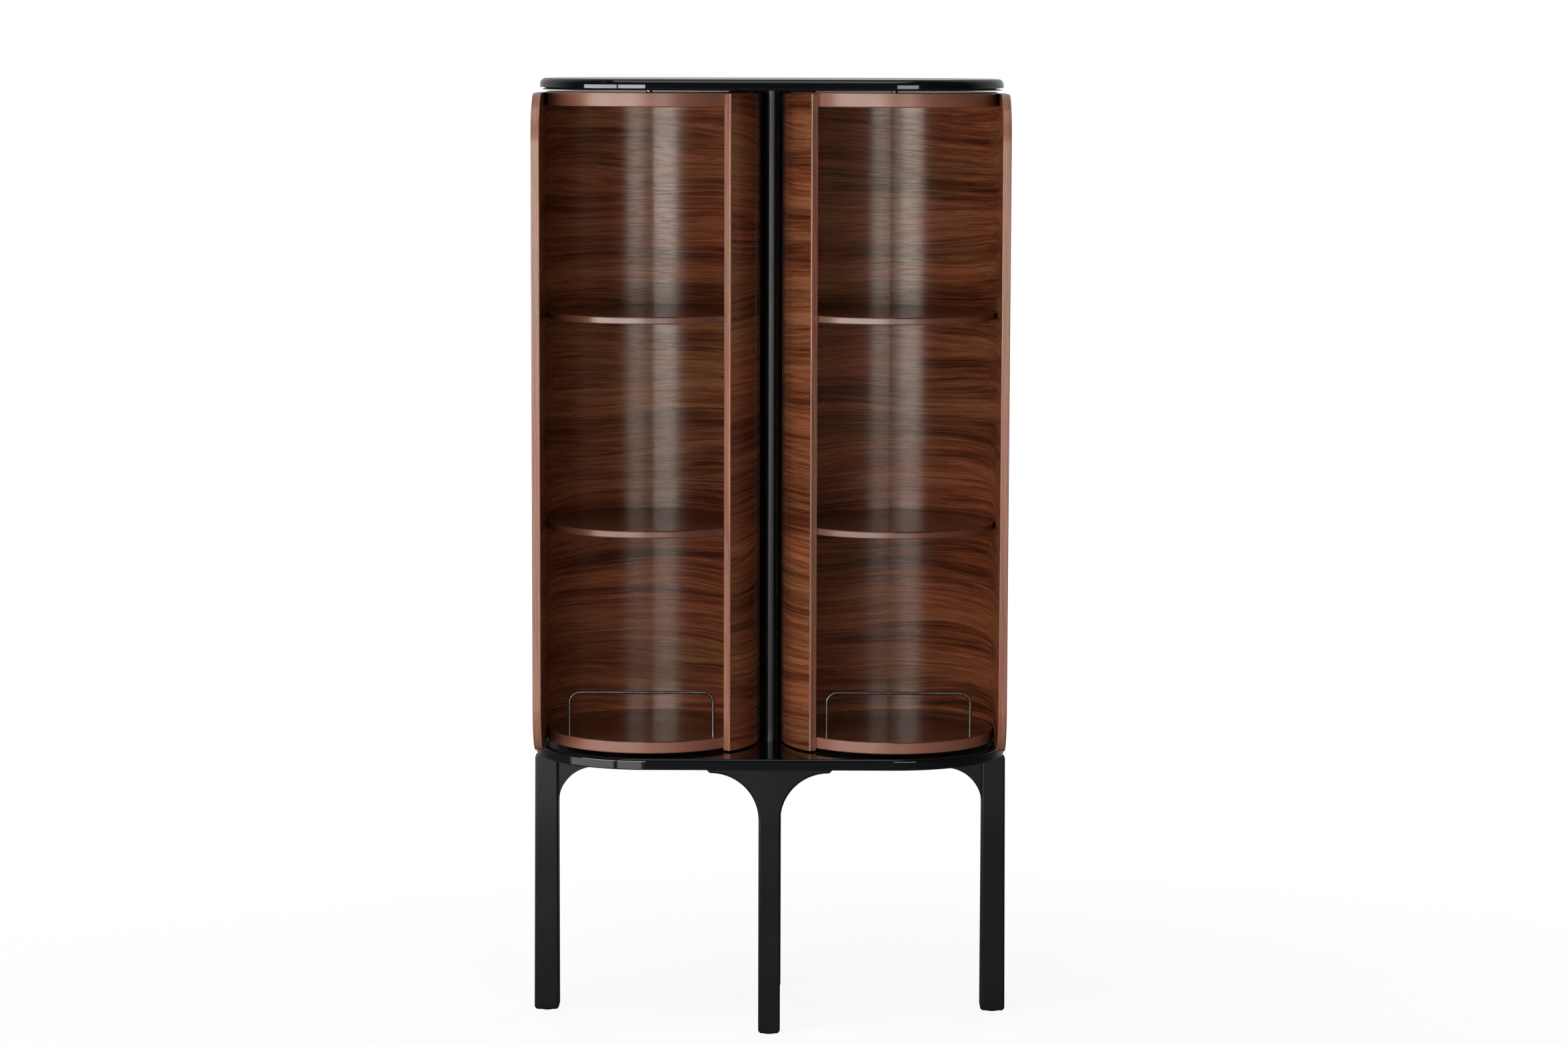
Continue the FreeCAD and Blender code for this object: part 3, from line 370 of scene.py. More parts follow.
@dataclass(frozen=True)
class PolishHaze:
    """Shared node group for the unevenness of a sprayed or rubbed finish.

    Haze is a wide cloud with a little fine dust on it, and Ripple is the fine waviness of the film.

    Attributes:
        cloud, dust: the noises of the haze.
        dust_level: haze that the dust adds.
        ripple_scale: scale of the waviness where a material gives none.
        ripple_detail: how many finer noises lie on the waviness.
    """

    cloud: NoiseLayer = NoiseLayer((5.0, 5.0, 5.0), 3.0, 0.55, low=0.35, high=0.7)
    dust: NoiseLayer = NoiseLayer((900.0, 900.0, 900.0), 1.0, low=0.66, high=0.76)
    dust_level: float = 0.5
    ripple_scale: float = 220.0
    ripple_detail: float = 1.0

    def build(self) -> bpy.types.NodeTree:
        """Make the group.

        Returns:
            The group, with Haze from 0 to 1 and more where there is dust, and Ripple from 0 to 1.
        """
        inputs = {
            "Vector": ("NodeSocketVector", (0.0, 0.0, 0.0)),
            "Ripple Scale": ("NodeSocketFloat", self.ripple_scale),
        }
        canvas, given, result = new_group("polish_haze", inputs, ("Haze", "Ripple"))
        vector = given.outputs["Vector"]
        cloud = self.cloud.mask(canvas, vector)
        haze = canvas.math("MULTIPLY_ADD", self.dust.mask(canvas, vector), self.dust_level, cloud)
        ripple = canvas.noise(vector, given.outputs["Ripple Scale"], self.ripple_detail)
        canvas.feed(result.inputs["Haze"], haze)
        canvas.feed(result.inputs["Ripple"], ripple)
        return canvas.tree


# Finishes


def new_material(name: str) -> tuple[bpy.types.Material, NodeCanvas]:
    """Make an empty node material.

    Args:
        name: the material's name.

    Returns:
        The material and the canvas for its nodes.
    """
    material = bpy.data.materials.new(name)
    material.use_nodes = True
    return material, NodeCanvas(material.node_tree)


@dataclass(frozen=True)
class Bend:
    """Plan of a drum wall, for grain that follows it.

    Attributes:
        axis_x: X of the drum's axis.
        outward: direction of X from the middle of the cabinet outwards, -1 or 1.
        radius: of the wall.
    """

    axis_x: float
    outward: float
    radius: float


# Colour of wood: places of the three colours on the tone, slow drift of the hue, darkness of the pores
TONE_PLACES = (0.25, 0.455, 0.68)
HUE_DRIFT = NoiseLayer((3.0, 10.0, 3.0), 2.0, low=0.35, high=0.65)
RED_DRIFT = (1.06, 0.92, 0.92, 1.0)
OLIVE_DRIFT = (0.95, 1.05, 0.99, 1.0)
PORE_SHARE = 0.45

# Film on wood: its tint, what makes it rougher or smoother, its clear coat and the grain that shows through
FILM_TINT = (1.0, 0.92, 0.83, 1.0)
CLEAN_FILM = -0.02
HAZY_FILM = 0.05
FIBRE_FILM = 0.06
COAT_ROUGHNESS = 0.32
GRAIN_DEPTH = 0.00012
GRAIN_STRENGTH = 0.6

# Rims of boards and walls: where they begin by the rise of the normal, their film and their wear
LEVEL_RIM = (0.6, 0.8)
UPRIGHT_RIM = (0.35, 0.9)
RIM_ROUGHNESS = 0.33
RIM_WEAR = (0.6, 0.55, 0.5, 1.0)
RIM_CLEAN_SHARE = 0.75
RIM_FIBRE_SHARE = 0.5


@dataclass(frozen=True)
class WoodFinish:
    """Clear or stained wood under a satin film.

    Attributes:
        name: the material's name.
        dark, middle, light: colours of the late wood, of most of the face and of the early wood.
        band_width: spacing of the figure across the grain.
        roughness: of the film over the face.
        rim: colour where the end or the edge of a board shows, or None.
        coat: weight of a clear coat, on the rim where there is one and all over where there is none.
        run: how the grain runs.
        wander: how far the grain wanders.
        offset: place of the part in the log, so that parts differ.
        bend: plan of the wall for grain that runs round it.
    """

    name: str
    dark: Colour
    middle: Colour
    light: Colour
    band_width: float
    roughness: float
    rim: Colour | None = None
    coat: float = 0.0
    run: GrainRun = GrainRun.LEVEL
    wander: float = 1.0
    offset: float = 0.0
    bend: Bend | None = None

    def grain_vector(self, canvas: NodeCanvas, place: Socket) -> Socket:
        """Vector that runs along the grain, across it and into the wood.

        Args:
            canvas: the canvas of the material.
            place: Object coordinates.

        Returns:
            The vector.
        """
        x, y, z = canvas.split(place)
        if self.run is GrainRun.BENT:
            along, inward = self.bent_run(canvas, x, y)
            across = z
        elif self.run is GrainRun.UPRIGHT:
            along, across, inward = z, x, y
        else:
            along, across, inward = x, y, z
        return canvas.join(canvas.math("ADD", along, self.offset), across, inward)

    def bent_run(self, canvas: NodeCanvas, x: Socket, y: Socket) -> tuple[Socket, Socket]:
        """Run along a bent wall, and the way into it.

        The run is the angle about the drum's axis times the radius.  On the straight panel, which is on the
        outer side in front of the axis, it goes straight on from there.  The way in is the distance from
        the axis, and on the panel the distance outwards.

        Args:
            canvas: the canvas of the material.
            x: Object coordinate from side to side.
            y: Object coordinate from front to back.

        Returns:
            The run and the way in.
        """
        out = canvas.math("MULTIPLY", canvas.math("SUBTRACT", x, self.bend.axis_x), self.bend.outward)
        round_run = canvas.math("MULTIPLY", canvas.math("ARCTAN2", out, y), self.bend.radius)
        straight_run = canvas.math("SUBTRACT", self.bend.radius * math.pi / 2.0, y)
        outer_side = canvas.math("GREATER_THAN", out, 0.0)
        in_front = canvas.math("LESS_THAN", y, 0.0)
        panel = canvas.math("MULTIPLY", outer_side, in_front)
        squares = canvas.math("MULTIPLY_ADD", out, out, canvas.math("MULTIPLY", y, y))
        inward = canvas.pick(panel, canvas.math("SQRT", squares), out)
        return canvas.pick(panel, round_run, straight_run), inward

    def rim_mask(self, canvas: NodeCanvas, normal: Socket) -> Socket:
        """Find the edges of a part, which lie level on a bent wall and stand upright on a round board.

        Args:
            canvas: the canvas of the material.
            normal: the surface's normal in Object space.

        Returns:
            One on the edges and zero on the faces.
        """
        rise = canvas.math("ABSOLUTE", canvas.split(normal)[2])
        if self.run is GrainRun.BENT:
            return canvas.span(rise, *LEVEL_RIM)
        return canvas.span(rise, *UPRIGHT_RIM, start=1.0, end=0.0)

    def face_colour(self, canvas: NodeCanvas, figure: Outputs, vector: Socket) -> Socket:
        """Colour of the face: the three colours by tone, times a slow drift of hue, with darker pores.

        Args:
            canvas: the canvas of the material.
            figure: outputs of the wood figure.
            vector: the run along the grain, across it and into it.

        Returns:
            The colour.
        """
        stops = tuple(zip(TONE_PLACES, (self.dark, self.middle, self.light)))
        colour = canvas.ramp(figure["Tone"], stops)
        tint = canvas.blend(HUE_DRIFT.mask(canvas, vector), RED_DRIFT, OLIVE_DRIFT)
        colour = canvas.blend(1.0, colour, tint, "MULTIPLY")
        pore_share = canvas.math("MULTIPLY", figure["Pores"], PORE_SHARE)
        return canvas.blend(pore_share, colour, (*self.dark, 1.0))

    def build(self, groups: Groups) -> bpy.types.Material:
        """Make the material.

        Args:
            groups: the shared node groups by name.

        Returns:
            The material.
        """
        material, canvas = new_material(self.name)
        coordinates = canvas.add("ShaderNodeTexCoord").outputs
        place = coordinates["Object"]
        vector = self.grain_vector(canvas, place)
        inputs = {"Vector": vector, "Band Width": self.band_width, "Wander": self.wander}
        figure = canvas.add("ShaderNodeGroup", inputs, node_tree=groups["wood_figure"]).outputs
        polish = canvas.add("ShaderNodeGroup", {"Vector": place}, node_tree=groups["polish_haze"]).outputs
        colour = self.face_colour(canvas, figure, vector)
        rough = canvas.math("MULTIPLY_ADD", polish["Haze"], HAZY_FILM, self.roughness + CLEAN_FILM)
        rough = canvas.math("MULTIPLY_ADD", figure["Fibre"], FIBRE_FILM, rough)
        coat = self.coat
        if self.rim is not None:
            mask = self.rim_mask(canvas, coordinates["Normal"])
            rough = canvas.pick(mask, rough, RIM_ROUGHNESS)
            coat = canvas.math("MULTIPLY", mask, self.coat)
            clean = canvas.math("MULTIPLY_ADD", figure["Fibre"], RIM_FIBRE_SHARE, RIM_CLEAN_SHARE)
            worn = canvas.blend(clean, RIM_WEAR, WHITE)
            rim = canvas.blend(1.0, (*self.rim, 1.0), worn, "MULTIPLY")
            colour = canvas.blend(mask, colour, rim)
        canvas.surface({
            "Base Color": colour,
            "Roughness": rough,
            "Specular Tint": FILM_TINT,
            "Coat Weight": coat,
            "Coat Roughness": COAT_ROUGHNESS,
            "Normal": canvas.bump(figure["Height"], GRAIN_DEPTH, GRAIN_STRENGTH),
        })
        return material


# Lacquer where it is hazy: its colour times the lift, plus the dust
HAZE_LIFT = 1.3
HAZE_DUST = 0.0005


@dataclass(frozen=True)
class LacquerFinish:
    """Opaque sprayed lacquer.

    Attributes:
        name: the material's name.
        colour: of the film.
        roughness: where the film is cleanest.
        haze: how much rougher it is where it is hazy.
        ripple: height of the fine waviness.
        ripple_scale: scale of the fine waviness.
    """

    name: str
    colour: Colour
    roughness: float
    haze: float
    ripple: float
    ripple_scale: float = 220.0

    def build(self, groups: Groups) -> bpy.types.Material:
        """Make the material.

        Args:
            groups: the shared node groups by name.

        Returns:
            The material.
        """
        material, canvas = new_material(self.name)
        place = canvas.add("ShaderNodeTexCoord").outputs["Object"]
        inputs = {"Vector": place, "Ripple Scale": self.ripple_scale}
        polish = canvas.add("ShaderNodeGroup", inputs, node_tree=groups["polish_haze"]).outputs
        hazy = tuple(HAZE_LIFT * part + HAZE_DUST for part in self.colour)
        canvas.surface({
            "Base Color": canvas.blend(polish["Haze"], (*self.colour, 1.0), (*hazy, 1.0)),
            "Roughness": canvas.math("MULTIPLY_ADD", polish["Haze"], self.haze, self.roughness),
            "Normal": canvas.bump(polish["Ripple"], self.ripple),
        })
        return material


# Marks on metal: detail of their noise, how much darker and rougher they are, their depth, and the haze
MARK_DETAIL = 3.0
MARK_FINENESS = 0.6
MARK_SHADE = 0.72
MARK_ROUGHNESS = 0.14
MARK_DEPTH = 0.00003
METAL_HAZE = 0.04


@dataclass(frozen=True)
class MetalFinish:
    """Turned, drawn or sintered metal, or a moulded plastic where metallic is 0.

    Attributes:
        name: the material's name.
        colour: of the bare surface.
        roughness: of its smoothest parts.
        draw: scale of the fine marks along each axis.
        metallic: 1 for a metal and 0 for a plastic.
    """

    name: str
    colour: Colour
    roughness: float
    draw: Triple
    metallic: float = 1.0

    def build(self, groups: Groups) -> bpy.types.Material:
        """Make the material, with a stretched noise for its marks.

        Args:
            groups: the shared node groups by name.

        Returns:
            The material.
        """
        material, canvas = new_material(self.name)
        place = canvas.add("ShaderNodeTexCoord").outputs["Object"]
        polish = canvas.add("ShaderNodeGroup", {"Vector": place}, node_tree=groups["polish_haze"]).outputs
        layer = NoiseLayer(self.draw, MARK_DETAIL, MARK_FINENESS)
        marks = layer.value(canvas, place)
        shade = tuple(MARK_SHADE * part for part in self.colour)
        rough = canvas.math("MULTIPLY_ADD", marks, MARK_ROUGHNESS, self.roughness)
        canvas.surface({
            "Base Color": canvas.blend(layer.spread(canvas, marks), (*shade, 1.0), (*self.colour, 1.0)),
            "Metallic": self.metallic,
            "Roughness": canvas.math("MULTIPLY_ADD", polish["Haze"], METAL_HAZE, rough),
            "Normal": canvas.bump(marks, MARK_DEPTH),
        })
        return material


Finish = Union[WoodFinish, LacquerFinish, MetalFinish]


class Workshop:
    """Holds the shared node groups and puts finishes on parts."""

    def __init__(self) -> None:
        """Build the shared node groups."""
        self.groups = {"wood_figure": WoodFigure().build(), "polish_haze": PolishHaze().build()}

    def finish(self, finish: Finish, names: tuple[str, ...]) -> None:
        """Make a finish and put it on the named parts of the frame.

        Args:
            finish: the finish to make.
            names: parts that get it.
        """
        material = finish.build(self.groups)
        for name in names:
            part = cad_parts[name]
            for slot in part.material_slots:
                slot.material = material
            LOG.info("%s: %s", name, finish.name)

    def finish_new(self, finish: Finish, piece: bpy.types.Object) -> None:
        """Make a finish and put it on a new piece."""
        piece.data.materials.append(finish.build(self.groups))
        LOG.info("%s: %s", piece.name, finish.name)


# Surfaces

POLE_MERGE = 1e-6


def new_piece(name: str, places: np.ndarray, faces: np.ndarray) -> bpy.types.Object:
    """Make a mesh object in the scene.

    Args:
        name: the object's name.
        places: array of points, whose last axis is the three coordinates.
        faces: array of four-sided faces, as numbers of points.

    Returns:
        The object, at the origin.
    """
    mesh = bpy.data.meshes.new(name)
    mesh.from_pydata(places.reshape(-1, 3).tolist(), [], faces.tolist())
    piece = bpy.data.objects.new(name, mesh)
    bpy.context.scene.collection.objects.link(piece)
    return piece


def ring_mesh(name: str, rings: np.ndarray) -> bpy.types.Object:
    """Closed mesh through rings of points, with a pole at either end.

    Args:
        name: the object's name.
        rings: array of solids, rings, points round a ring and three coordinates, each ring anticlockwise as
            seen from the last ring's side, and the first and last rings drawn together to one point.

    Returns:
        The object, at the origin.
    """
    solids, count, around, _ = rings.shape
    starts = np.arange(solids)[:, None, None] * count * around
    row = np.arange(count - 1)[None, :, None] * around
    here = np.arange(around)[None, None, :]
    after = (here + 1) % around
    corners = (row + here, row + after, row + around + after, row + around + here)
    faces = np.stack([starts + corner for corner in corners], axis=-1).reshape(-1, 4)
    piece = new_piece(name, rings, faces)
    weld = piece.modifiers.new("poles", "WELD")
    weld.merge_threshold = POLE_MERGE
    piece.data.shade_smooth()
    return piece


# Sub-assemblies


@dataclass
class Stand:
    """Base, top, legs and the nylon pieces that carry them and the drums.

    Attributes:
        slabs: the two boards with round ends.
        legs: the four legs.
        bearings: the glides under the legs and the washers under the drums.
    """

    slabs: tuple[str, ...] = ("base_slab", "top_slab")
    legs: tuple[str, ...] = ("front_leg", "back_leg", "left_leg", "right_leg")
    bearings: tuple[str, ...] = ("leg_glides", "left_thrust_washer", "right_thrust_washer")

    def dress(self, shop: Workshop) -> None:
        """Give the stand its black finishes.

        Args:
            shop: the workshop that makes them.
        """
        gloss = LacquerFinish(
            "black_gloss_lacquer", (0.0045, 0.005, 0.006), roughness=0.05, haze=0.05, ripple=0.000012
        )
        satin = LacquerFinish(
            "black_satin_lacquer", (0.0055, 0.0055, 0.0058), roughness=0.23, haze=0.03, ripple=0.00004
        )
        nylon = MetalFinish(
            "black_nylon", (0.03, 0.03, 0.03), roughness=0.5, draw=(400.0, 400.0, 400.0), metallic=0.0
        )
        shop.finish(gloss, self.slabs)
        shop.finish(satin, self.legs)
        shop.finish(nylon, self.bearings)


@dataclass
class Spine:
    """Post and back panel between the drums.

    Attributes:
        screw_count: screws that hold the back panel to the post.
        screw_end: distance of the first and last screw from the ends of the panel.
        head_radius: of a screw head.
        head_height: of a screw head.
        head_rings, head_points: points from the middle of a head to its rim, and round it.
        recess_radius: reach of the cross recess.
        recess_width: half the width of its slots.
        recess_depth: of the cross recess.
        slot_steepness, end_steepness: how sharply the recess falls at the sides and ends of its slots.
        rim_drop: how much lower the head is at its rim.
    """

    screw_count: int = 6
    screw_end: float = 0.07
    head_radius: float = 0.0045
    head_height: float = 0.0024
    head_rings: int = 19
    head_points: int = 64
    recess_radius: float = 0.0026
    recess_width: float = 0.0006
    recess_depth: float = 0.0013
    slot_steepness: float = 9.0
    end_steepness: float = 32.0
    rim_drop: float = 0.0011

    def dress(self, shop: Workshop) -> None:
        """Give the spine its finishes and add the screws of the back panel.

        Args:
            shop: the workshop that makes the finishes.
        """
        post = LacquerFinish(
            "post_lacquer", (0.004, 0.0046, 0.0052), roughness=0.33, haze=0.04, ripple=0.000015
        )
        panel = LacquerFinish(
            "back_panel_lacquer", (0.006, 0.0055, 0.0055), roughness=0.42, haze=0.1, ripple=0.00004
        )
        shop.finish(post, ("centre_post",))
        shop.finish(panel, ("back_panel",))
        screws = self.build_screws()
        steel = MetalFinish(
            "blackened_steel", (0.16, 0.16, 0.17), roughness=0.32, draw=(300.0, 300.0, 300.0)
        )
        shop.finish_new(steel, screws)
        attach(screws, "frame")

    def build_screws(self) -> bpy.types.Object:
        """Round screw heads in one upright row on the rear face of the back panel.

        A head is a surface over radius and angle: a low dome that falls by the square of the radius, less a
        cross recess where the point lies within the slots, then an upright rim down to the panel.  The
        recess is the product of two S-shaped steps, one across the slots and one along them.

        Returns:
            The object with all heads.
        """
        low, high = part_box("back_panel")
        radii = np.linspace(0.0, self.head_radius, self.head_rings)
        angles = np.linspace(0.0, 2.0 * np.pi, self.head_points, endpoint=False)
        radius, angle = np.meshgrid(radii, angles, indexing="ij")
        across, up = radius * np.cos(angle), radius * np.sin(angle)
        dome = self.head_height - self.rim_drop * (radius / self.head_radius) ** 2
        slot = np.minimum(np.abs(across), np.abs(up)) / self.recess_width
        inside = 1.0 / (1.0 + np.exp(self.slot_steepness * (slot - 1.0)))
        reach = 1.0 / (1.0 + np.exp(self.end_steepness * (radius / self.recess_radius - 1.0)))
        face = np.stack([across, dome - self.recess_depth * inside * reach, up], axis=-1)
        rim = np.stack([across[-1], np.zeros(len(angles)), up[-1]], axis=-1)
        rings = np.concatenate([face, rim[None], np.zeros((1, len(angles), 3))])
        levels = np.linspace(low[2] + self.screw_end, high[2] - self.screw_end, self.screw_count)
        middle = 0.5 * (low[0] + high[0])
        seats = np.stack([np.full_like(levels, middle), np.full_like(levels, high[1]), levels], axis=-1)
        return ring_mesh("back_panel_screws", rings[None] + seats[:, None, None, :])


@dataclass
class Drum:
    """One revolving drum.

    Attributes:
        side: the half of the cabinet that it stands in.
        log_offset: where its veneer lies in the log.
    """

    side: Side
    log_offset: float

    def part(self, name: str) -> str:
        """Full name of a part of this drum."""
        return f"{self.side.prefix}_{name}"

    def bend(self) -> Bend:
        """Plan of the wall, from the floor board and the wall's own box.

        Returns:
            The plan.
        """
        low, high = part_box(self.part("floor"))
        wall_low, wall_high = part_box(self.part("shell"))
        axis_x = 0.5 * (low[0] + high[0])
        return Bend(axis_x, float(self.side.value), radius=0.5 * (wall_high[0] - wall_low[0]))

    def dress(self, shop: Workshop) -> None:
        """Give the drum its walnut and its rail.

        Args:
            shop: the workshop that makes the finishes.
        """
        wall = WoodFinish(
            self.part("bent_walnut"),
            dark=(0.062, 0.0148, 0.0055),
            middle=(0.178, 0.051, 0.0205),
            light=(0.315, 0.110, 0.048),
            band_width=0.030,
            roughness=0.22,
            rim=(0.30, 0.110, 0.058),
            run=GrainRun.BENT,
            wander=0.85,
            offset=self.log_offset,
            bend=self.bend(),
        )
        edging = WoodFinish(
            self.part("walnut_edging"),
            dark=(0.26, 0.103, 0.063),
            middle=(0.36, 0.153, 0.097),
            light=(0.44, 0.204, 0.136),
            band_width=0.012,
            roughness=0.24,
            coat=0.3,
            run=GrainRun.UPRIGHT,
            wander=0.25,
            offset=self.log_offset,
        )
        board = WoodFinish(
            self.part("walnut_board"),
            dark=(0.050, 0.016, 0.008),
            middle=(0.105, 0.036, 0.018),
            light=(0.165, 0.064, 0.036),
            band_width=0.026,
            roughness=0.07,
            # Floor and ceiling rims are paler than the shelves' rims of the same walnut: partly the edge's
            # own colour, partly a painted sheen for the light these rims catch
            rim=(0.31, 0.122, 0.077),
            coat=0.5,
            offset=self.log_offset,
        )
        shelf = replace(board, name=self.part("walnut_shelf"), rim=(0.17, 0.060, 0.036), coat=0.9)
        rail = MetalFinish(
            self.part("rail_metal"), (0.15, 0.145, 0.14), roughness=0.18, draw=(60.0, 900.0, 60.0)
        )
        shop.finish(wall, (self.part("shell"),))
        shop.finish(edging, (self.part("front_edging"), self.part("inner_edging")))
        shop.finish(board, (self.part("floor"), self.part("ceiling")))
        shop.finish(shelf, (self.part("lower_shelf"), self.part("upper_shelf")))
        shop.finish(rail, (self.part("gallery_rail"),))


@dataclass
class HiddenHardware:
    """Dowels, pins and bushes inside the joints.

    Attributes:
        dowels: the wooden dowels.
        pins, bushes: the steel and the bronze pieces of one side, without the side's name.
    """

    dowels: tuple[str, ...] = ("leg_dowels", "spine_dowels", "left_board_dowels", "right_board_dowels")
    pins: tuple[str, ...] = ("lower_pivot", "upper_pivot", "stop_pin")
    bushes: tuple[str, ...] = ("lower_bush", "upper_bush")

    def dress(self, shop: Workshop) -> None:
        """Give the hidden parts their plain finishes.

        Args:
            shop: the workshop that makes them.
        """
        beech = WoodFinish(
            "plain_beech",
            dark=(0.36, 0.22, 0.12),
            middle=(0.50, 0.33, 0.19),
            light=(0.60, 0.42, 0.26),
            band_width=0.006,
            roughness=0.55,
            run=GrainRun.UPRIGHT,
            wander=0.2,
        )
        steel = MetalFinish(
            "turned_steel", (0.52, 0.52, 0.53), roughness=0.26, draw=(40.0, 40.0, 1800.0)
        )
        bronze = MetalFinish(
            "sintered_bronze", (0.52, 0.35, 0.16), roughness=0.38, draw=(700.0, 700.0, 700.0)
        )
        shop.finish(beech, self.dowels)
        shop.finish(steel, tuple(f"{side.prefix}_{pin}" for side in Side for pin in self.pins))
        shop.finish(bronze, tuple(f"{side.prefix}_{bush}" for side in Side for bush in self.bushes))


# Studio


@dataclass(frozen=True)
class Softbox:
    """One rectangular studio light.

    Attributes:
        name: the light's name.
        place: its middle.
        width, height: its size.
        watts: its power.
        aim: the point that it faces.
    """

    name: str
    place: Triple
    width: float
    height: float
    watts: float
    aim: Triple = (0.0, 0.0, 1.1)

    def build(self) -> None:
        """Make the light, which the camera itself doesn't see."""
        light = bpy.data.lights.new(self.name, "AREA")
        light.shape = "RECTANGLE"
        light.size = self.width
        light.size_y = self.height
        light.energy = self.watts
        lamp = bpy.data.objects.new(self.name, light)
        bpy.context.scene.collection.objects.link(lamp)
        lamp.location = self.place
        lamp.rotation_euler = (Vector(self.aim) - Vector(self.place)).to_track_quat("-Z", "Y").to_euler()
        lamp.visible_camera = False
        LOG.info("light %s: %.0f W", self.name, self.watts)


@dataclass
class Studio:
    """Floor, white surroundings, lights and camera.

    Attributes:
        floor_reach: half the width of the floor.
        floor_cells: cells of the floor's grid along each side.
        floor_dark, floor_light: greys between which the floor varies.
        floor_grain: scale of that variation.
        floor_grain_detail: how many finer noises lie on it.
        floor_glow: light that the floor shows to the camera besides what falls on it.
        shade_start, shade_end: distances from the middle between which the floor fades to plain white.
        ambient: light from all round.
        front_level, rear_level: brightness of the surroundings in front and behind, as polished parts
            mirror them.
        front_depth, rear_depth: Y of the directions between which the one changes to the other.
        camera_turn: direction to the camera from the cabinet, in degrees to the right.
        camera_distance: from the middle of the cabinet.
        camera_height: above the floor.
        view_turn: turn of the line of sight from that direction, in degrees.
        view_tilt: tilt of the line of sight below the level, in degrees.
        view_roll: roll of the camera, in degrees.
        focal_pixels: focal length in pixels of the photograph.
        shift_pixels: upward shift of the optical axis in pixels of the photograph.
    """

    floor_reach: float = 60.0
    floor_cells: int = 40
    floor_dark: float = 0.28
    floor_light: float = 0.32
    floor_grain: float = 40.0
    floor_grain_detail: float = 3.0
    floor_glow: float = 0.88
    shade_start: float = 0.75
    shade_end: float = 2.2
    ambient: float = 0.025
    front_level: float = 0.02
    rear_level: float = 0.5
    front_depth: float = -0.2
    rear_depth: float = 0.6
    camera_turn: float = 0.298
    camera_distance: float = 7.4
    camera_height: float = 1.765
    view_turn: float = -0.184
    view_tilt: float = 6.128
    view_roll: float = 0.165
    focal_pixels: float = 6168.6
    shift_pixels: float = 58.8

    def build(self) -> None:
        """Set up everything that isn't part of the cabinet."""
        self.build_floor()
        self.build_world()
        for softbox in self.softboxes():
            softbox.build()
        self.build_camera()
        bpy.context.scene.view_settings.view_transform = "Standard"

    @staticmethod
    def softboxes() -> tuple[Softbox, ...]:
        """Two wide lights on the left, a weak one on the right, two low cards, one above and two behind.

        Returns:
            The lights, not yet in the scene.
        """
        return (
            Softbox("left_softbox", (-5.48, -4.36, 1.15), 4.6, 1.35, 190.0),
            Softbox("left_front_softbox", (-2.28, -6.62, 1.15), 3.1, 1.35, 142.0),
            Softbox("right_front_softbox", (1.87, -6.75, 1.15), 2.3, 1.35, 60.0),
            Softbox("left_floor_card", (-2.2, -1.28, 0.11), 2.1, 0.2, 2.9),
            Softbox("front_floor_card", (-0.97, -2.3, 0.11), 0.95, 0.2, 1.4),
            Softbox("top_softbox", (-0.3, -0.9, 3.5), 1.8, 1.4, 14.0),
            Softbox("left_rear_softbox", (-1.5, 3.1, 0.9), 2.0, 1.35, 30.0),
            Softbox("right_rear_softbox", (1.9, 2.9, 0.9), 2.0, 1.35, 30.0),
        )

    def build_floor(self) -> None:
        """Level floor: a grid over two level directions, shaded near the feet and white far off."""
        points = self.floor_cells + 1
        steps = np.linspace(-1.0, 1.0, points)
        across, along = np.meshgrid(steps, steps, indexing="ij")
        places = np.stack([across, along, np.zeros_like(across)], axis=-1) * self.floor_reach
        cells = np.arange(self.floor_cells)
        row, column = np.meshgrid(cells * points, cells, indexing="ij")
        first = (row + column).ravel()
        faces = np.stack([first, first + points, first + points + 1, first + 1], axis=-1)
        floor = new_piece("studio_floor", places, faces)
        floor.data.materials.append(self.floor_material())

    def floor_material(self) -> bpy.types.Material:
        """Pale floor that takes the shadow and shows white to the camera away from the feet.

        Returns:
            The material.
        """
        material, canvas = new_material("pale_floor")
        place = canvas.add("ShaderNodeTexCoord").outputs["Object"]
        grain = canvas.noise(place, self.floor_grain, self.floor_grain_detail)
        dark = (self.floor_dark, self.floor_dark, self.floor_dark, 1.0)
        light = (self.floor_light, self.floor_light, self.floor_light, 1.0)
        matt = canvas.add("ShaderNodeBsdfDiffuse", {"Color": canvas.blend(grain, dark, light)}).outputs[0]
        camera = canvas.add("ShaderNodeLightPath").outputs["Is Camera Ray"]
        glow_strength = canvas.math("MULTIPLY", camera, self.floor_glow)
        glow = canvas.add("ShaderNodeEmission", {"Color": WHITE, "Strength": glow_strength}).outputs[0]
        near = canvas.add("ShaderNodeAddShader", {0: matt, 1: glow}).outputs[0]
        plain = canvas.add("ShaderNodeEmission", {"Color": WHITE, "Strength": 1.0}).outputs[0]
        distance = canvas.add("ShaderNodeVectorMath", {0: place}, operation="LENGTH").outputs["Value"]
        away = canvas.span(distance, self.shade_start, self.shade_end)
        share = canvas.math("MULTIPLY", away, camera)
        mixed = canvas.add("ShaderNodeMixShader", {0: share, 1: near, 2: plain}).outputs[0]
        canvas.add("ShaderNodeOutputMaterial", {"Surface": mixed})
        return material

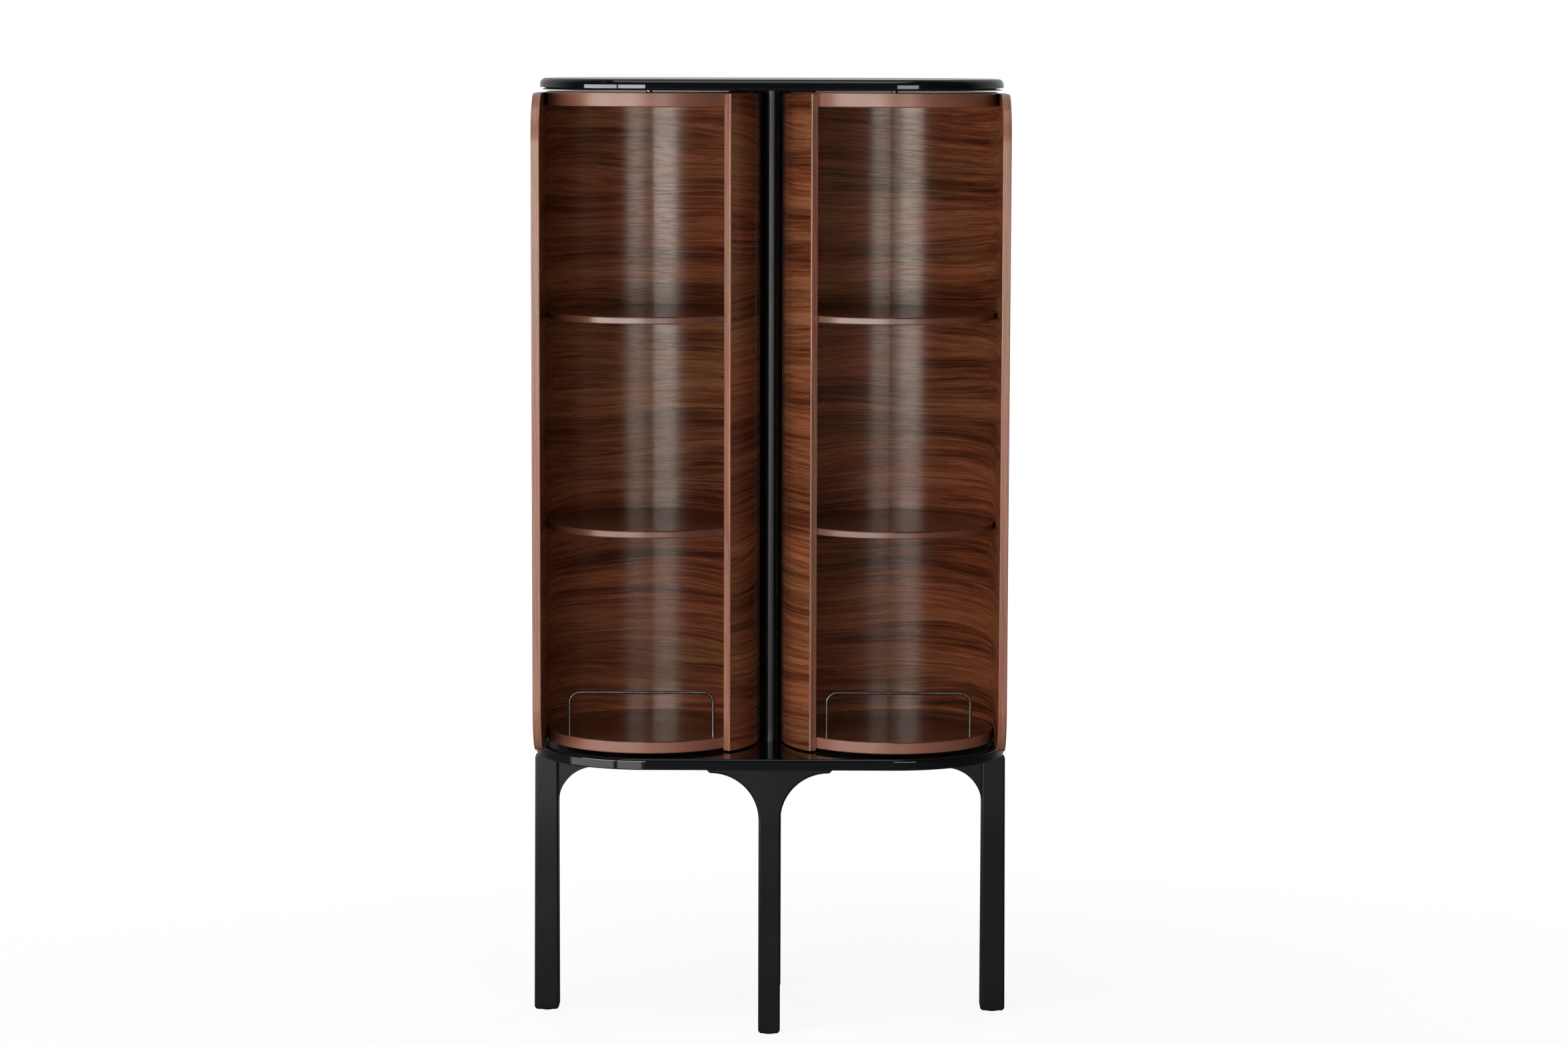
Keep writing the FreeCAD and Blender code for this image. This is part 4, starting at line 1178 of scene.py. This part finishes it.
    def build_world(self) -> None:
        """White surroundings for the camera, brighter behind than in front in reflections, dim as light."""
        world = bpy.data.worlds.new("studio_world")
        bpy.context.scene.world = world
        world.use_nodes = True
        canvas = NodeCanvas(world.node_tree)
        path = canvas.add("ShaderNodeLightPath").outputs
        direction = canvas.add("ShaderNodeTexCoord").outputs["Generated"]
        depth = canvas.split(direction)[1]
        mirrored = canvas.span(depth, self.front_depth, self.rear_depth, self.front_level, self.rear_level)
        level = canvas.pick(path["Is Glossy Ray"], self.ambient, mirrored)
        seen = canvas.math("MAXIMUM", path["Is Camera Ray"], path["Is Transmission Ray"])
        strength = canvas.pick(seen, level, 1.0)
        background = canvas.add("ShaderNodeBackground", {"Color": WHITE, "Strength": strength})
        canvas.add("ShaderNodeOutputWorld", {"Surface": background.outputs[0]})

    def build_camera(self) -> None:
        """Camera at the photograph's viewing angle."""
        data = bpy.data.cameras.new("studio_camera")
        data.sensor_width = SENSOR_WIDTH
        data.lens = self.focal_pixels / PHOTO_WIDTH * SENSOR_WIDTH
        data.shift_y = -self.shift_pixels / PHOTO_WIDTH
        camera = bpy.data.objects.new("studio_camera", data)
        bpy.context.scene.collection.objects.link(camera)
        turn = math.radians(self.camera_turn)
        heading = math.radians(self.camera_turn + self.view_turn)
        tilt = math.radians(self.view_tilt)
        level = math.cos(tilt)
        forward = Vector((-math.sin(heading) * level, math.cos(heading) * level, -math.sin(tilt)))
        right = Vector((math.cos(heading), math.sin(heading), 0.0))
        axes = Matrix((right, right.cross(forward), -forward)).transposed()
        roll = Matrix.Rotation(math.radians(self.view_roll), 3, "Z")
        place = Vector((math.sin(turn), -math.cos(turn), 0.0)) * self.camera_distance
        place.z = self.camera_height
        camera.matrix_world = Matrix.Translation(place) @ (axes @ roll).to_4x4()
        bpy.context.scene.camera = camera


def main() -> None:
    """Dress the cabinet part by part, then set up the studio."""
    logging.basicConfig(level=logging.INFO, format="%(name)s: %(message)s")
    shop = Workshop()
    Stand().dress(shop)
    Spine().dress(shop)
    Drum(Side.LEFT, log_offset=0.0).dress(shop)
    Drum(Side.RIGHT, log_offset=7.3).dress(shop)
    HiddenHardware().dress(shop)
    Studio().build()


if __name__ == "__main__":
    main()
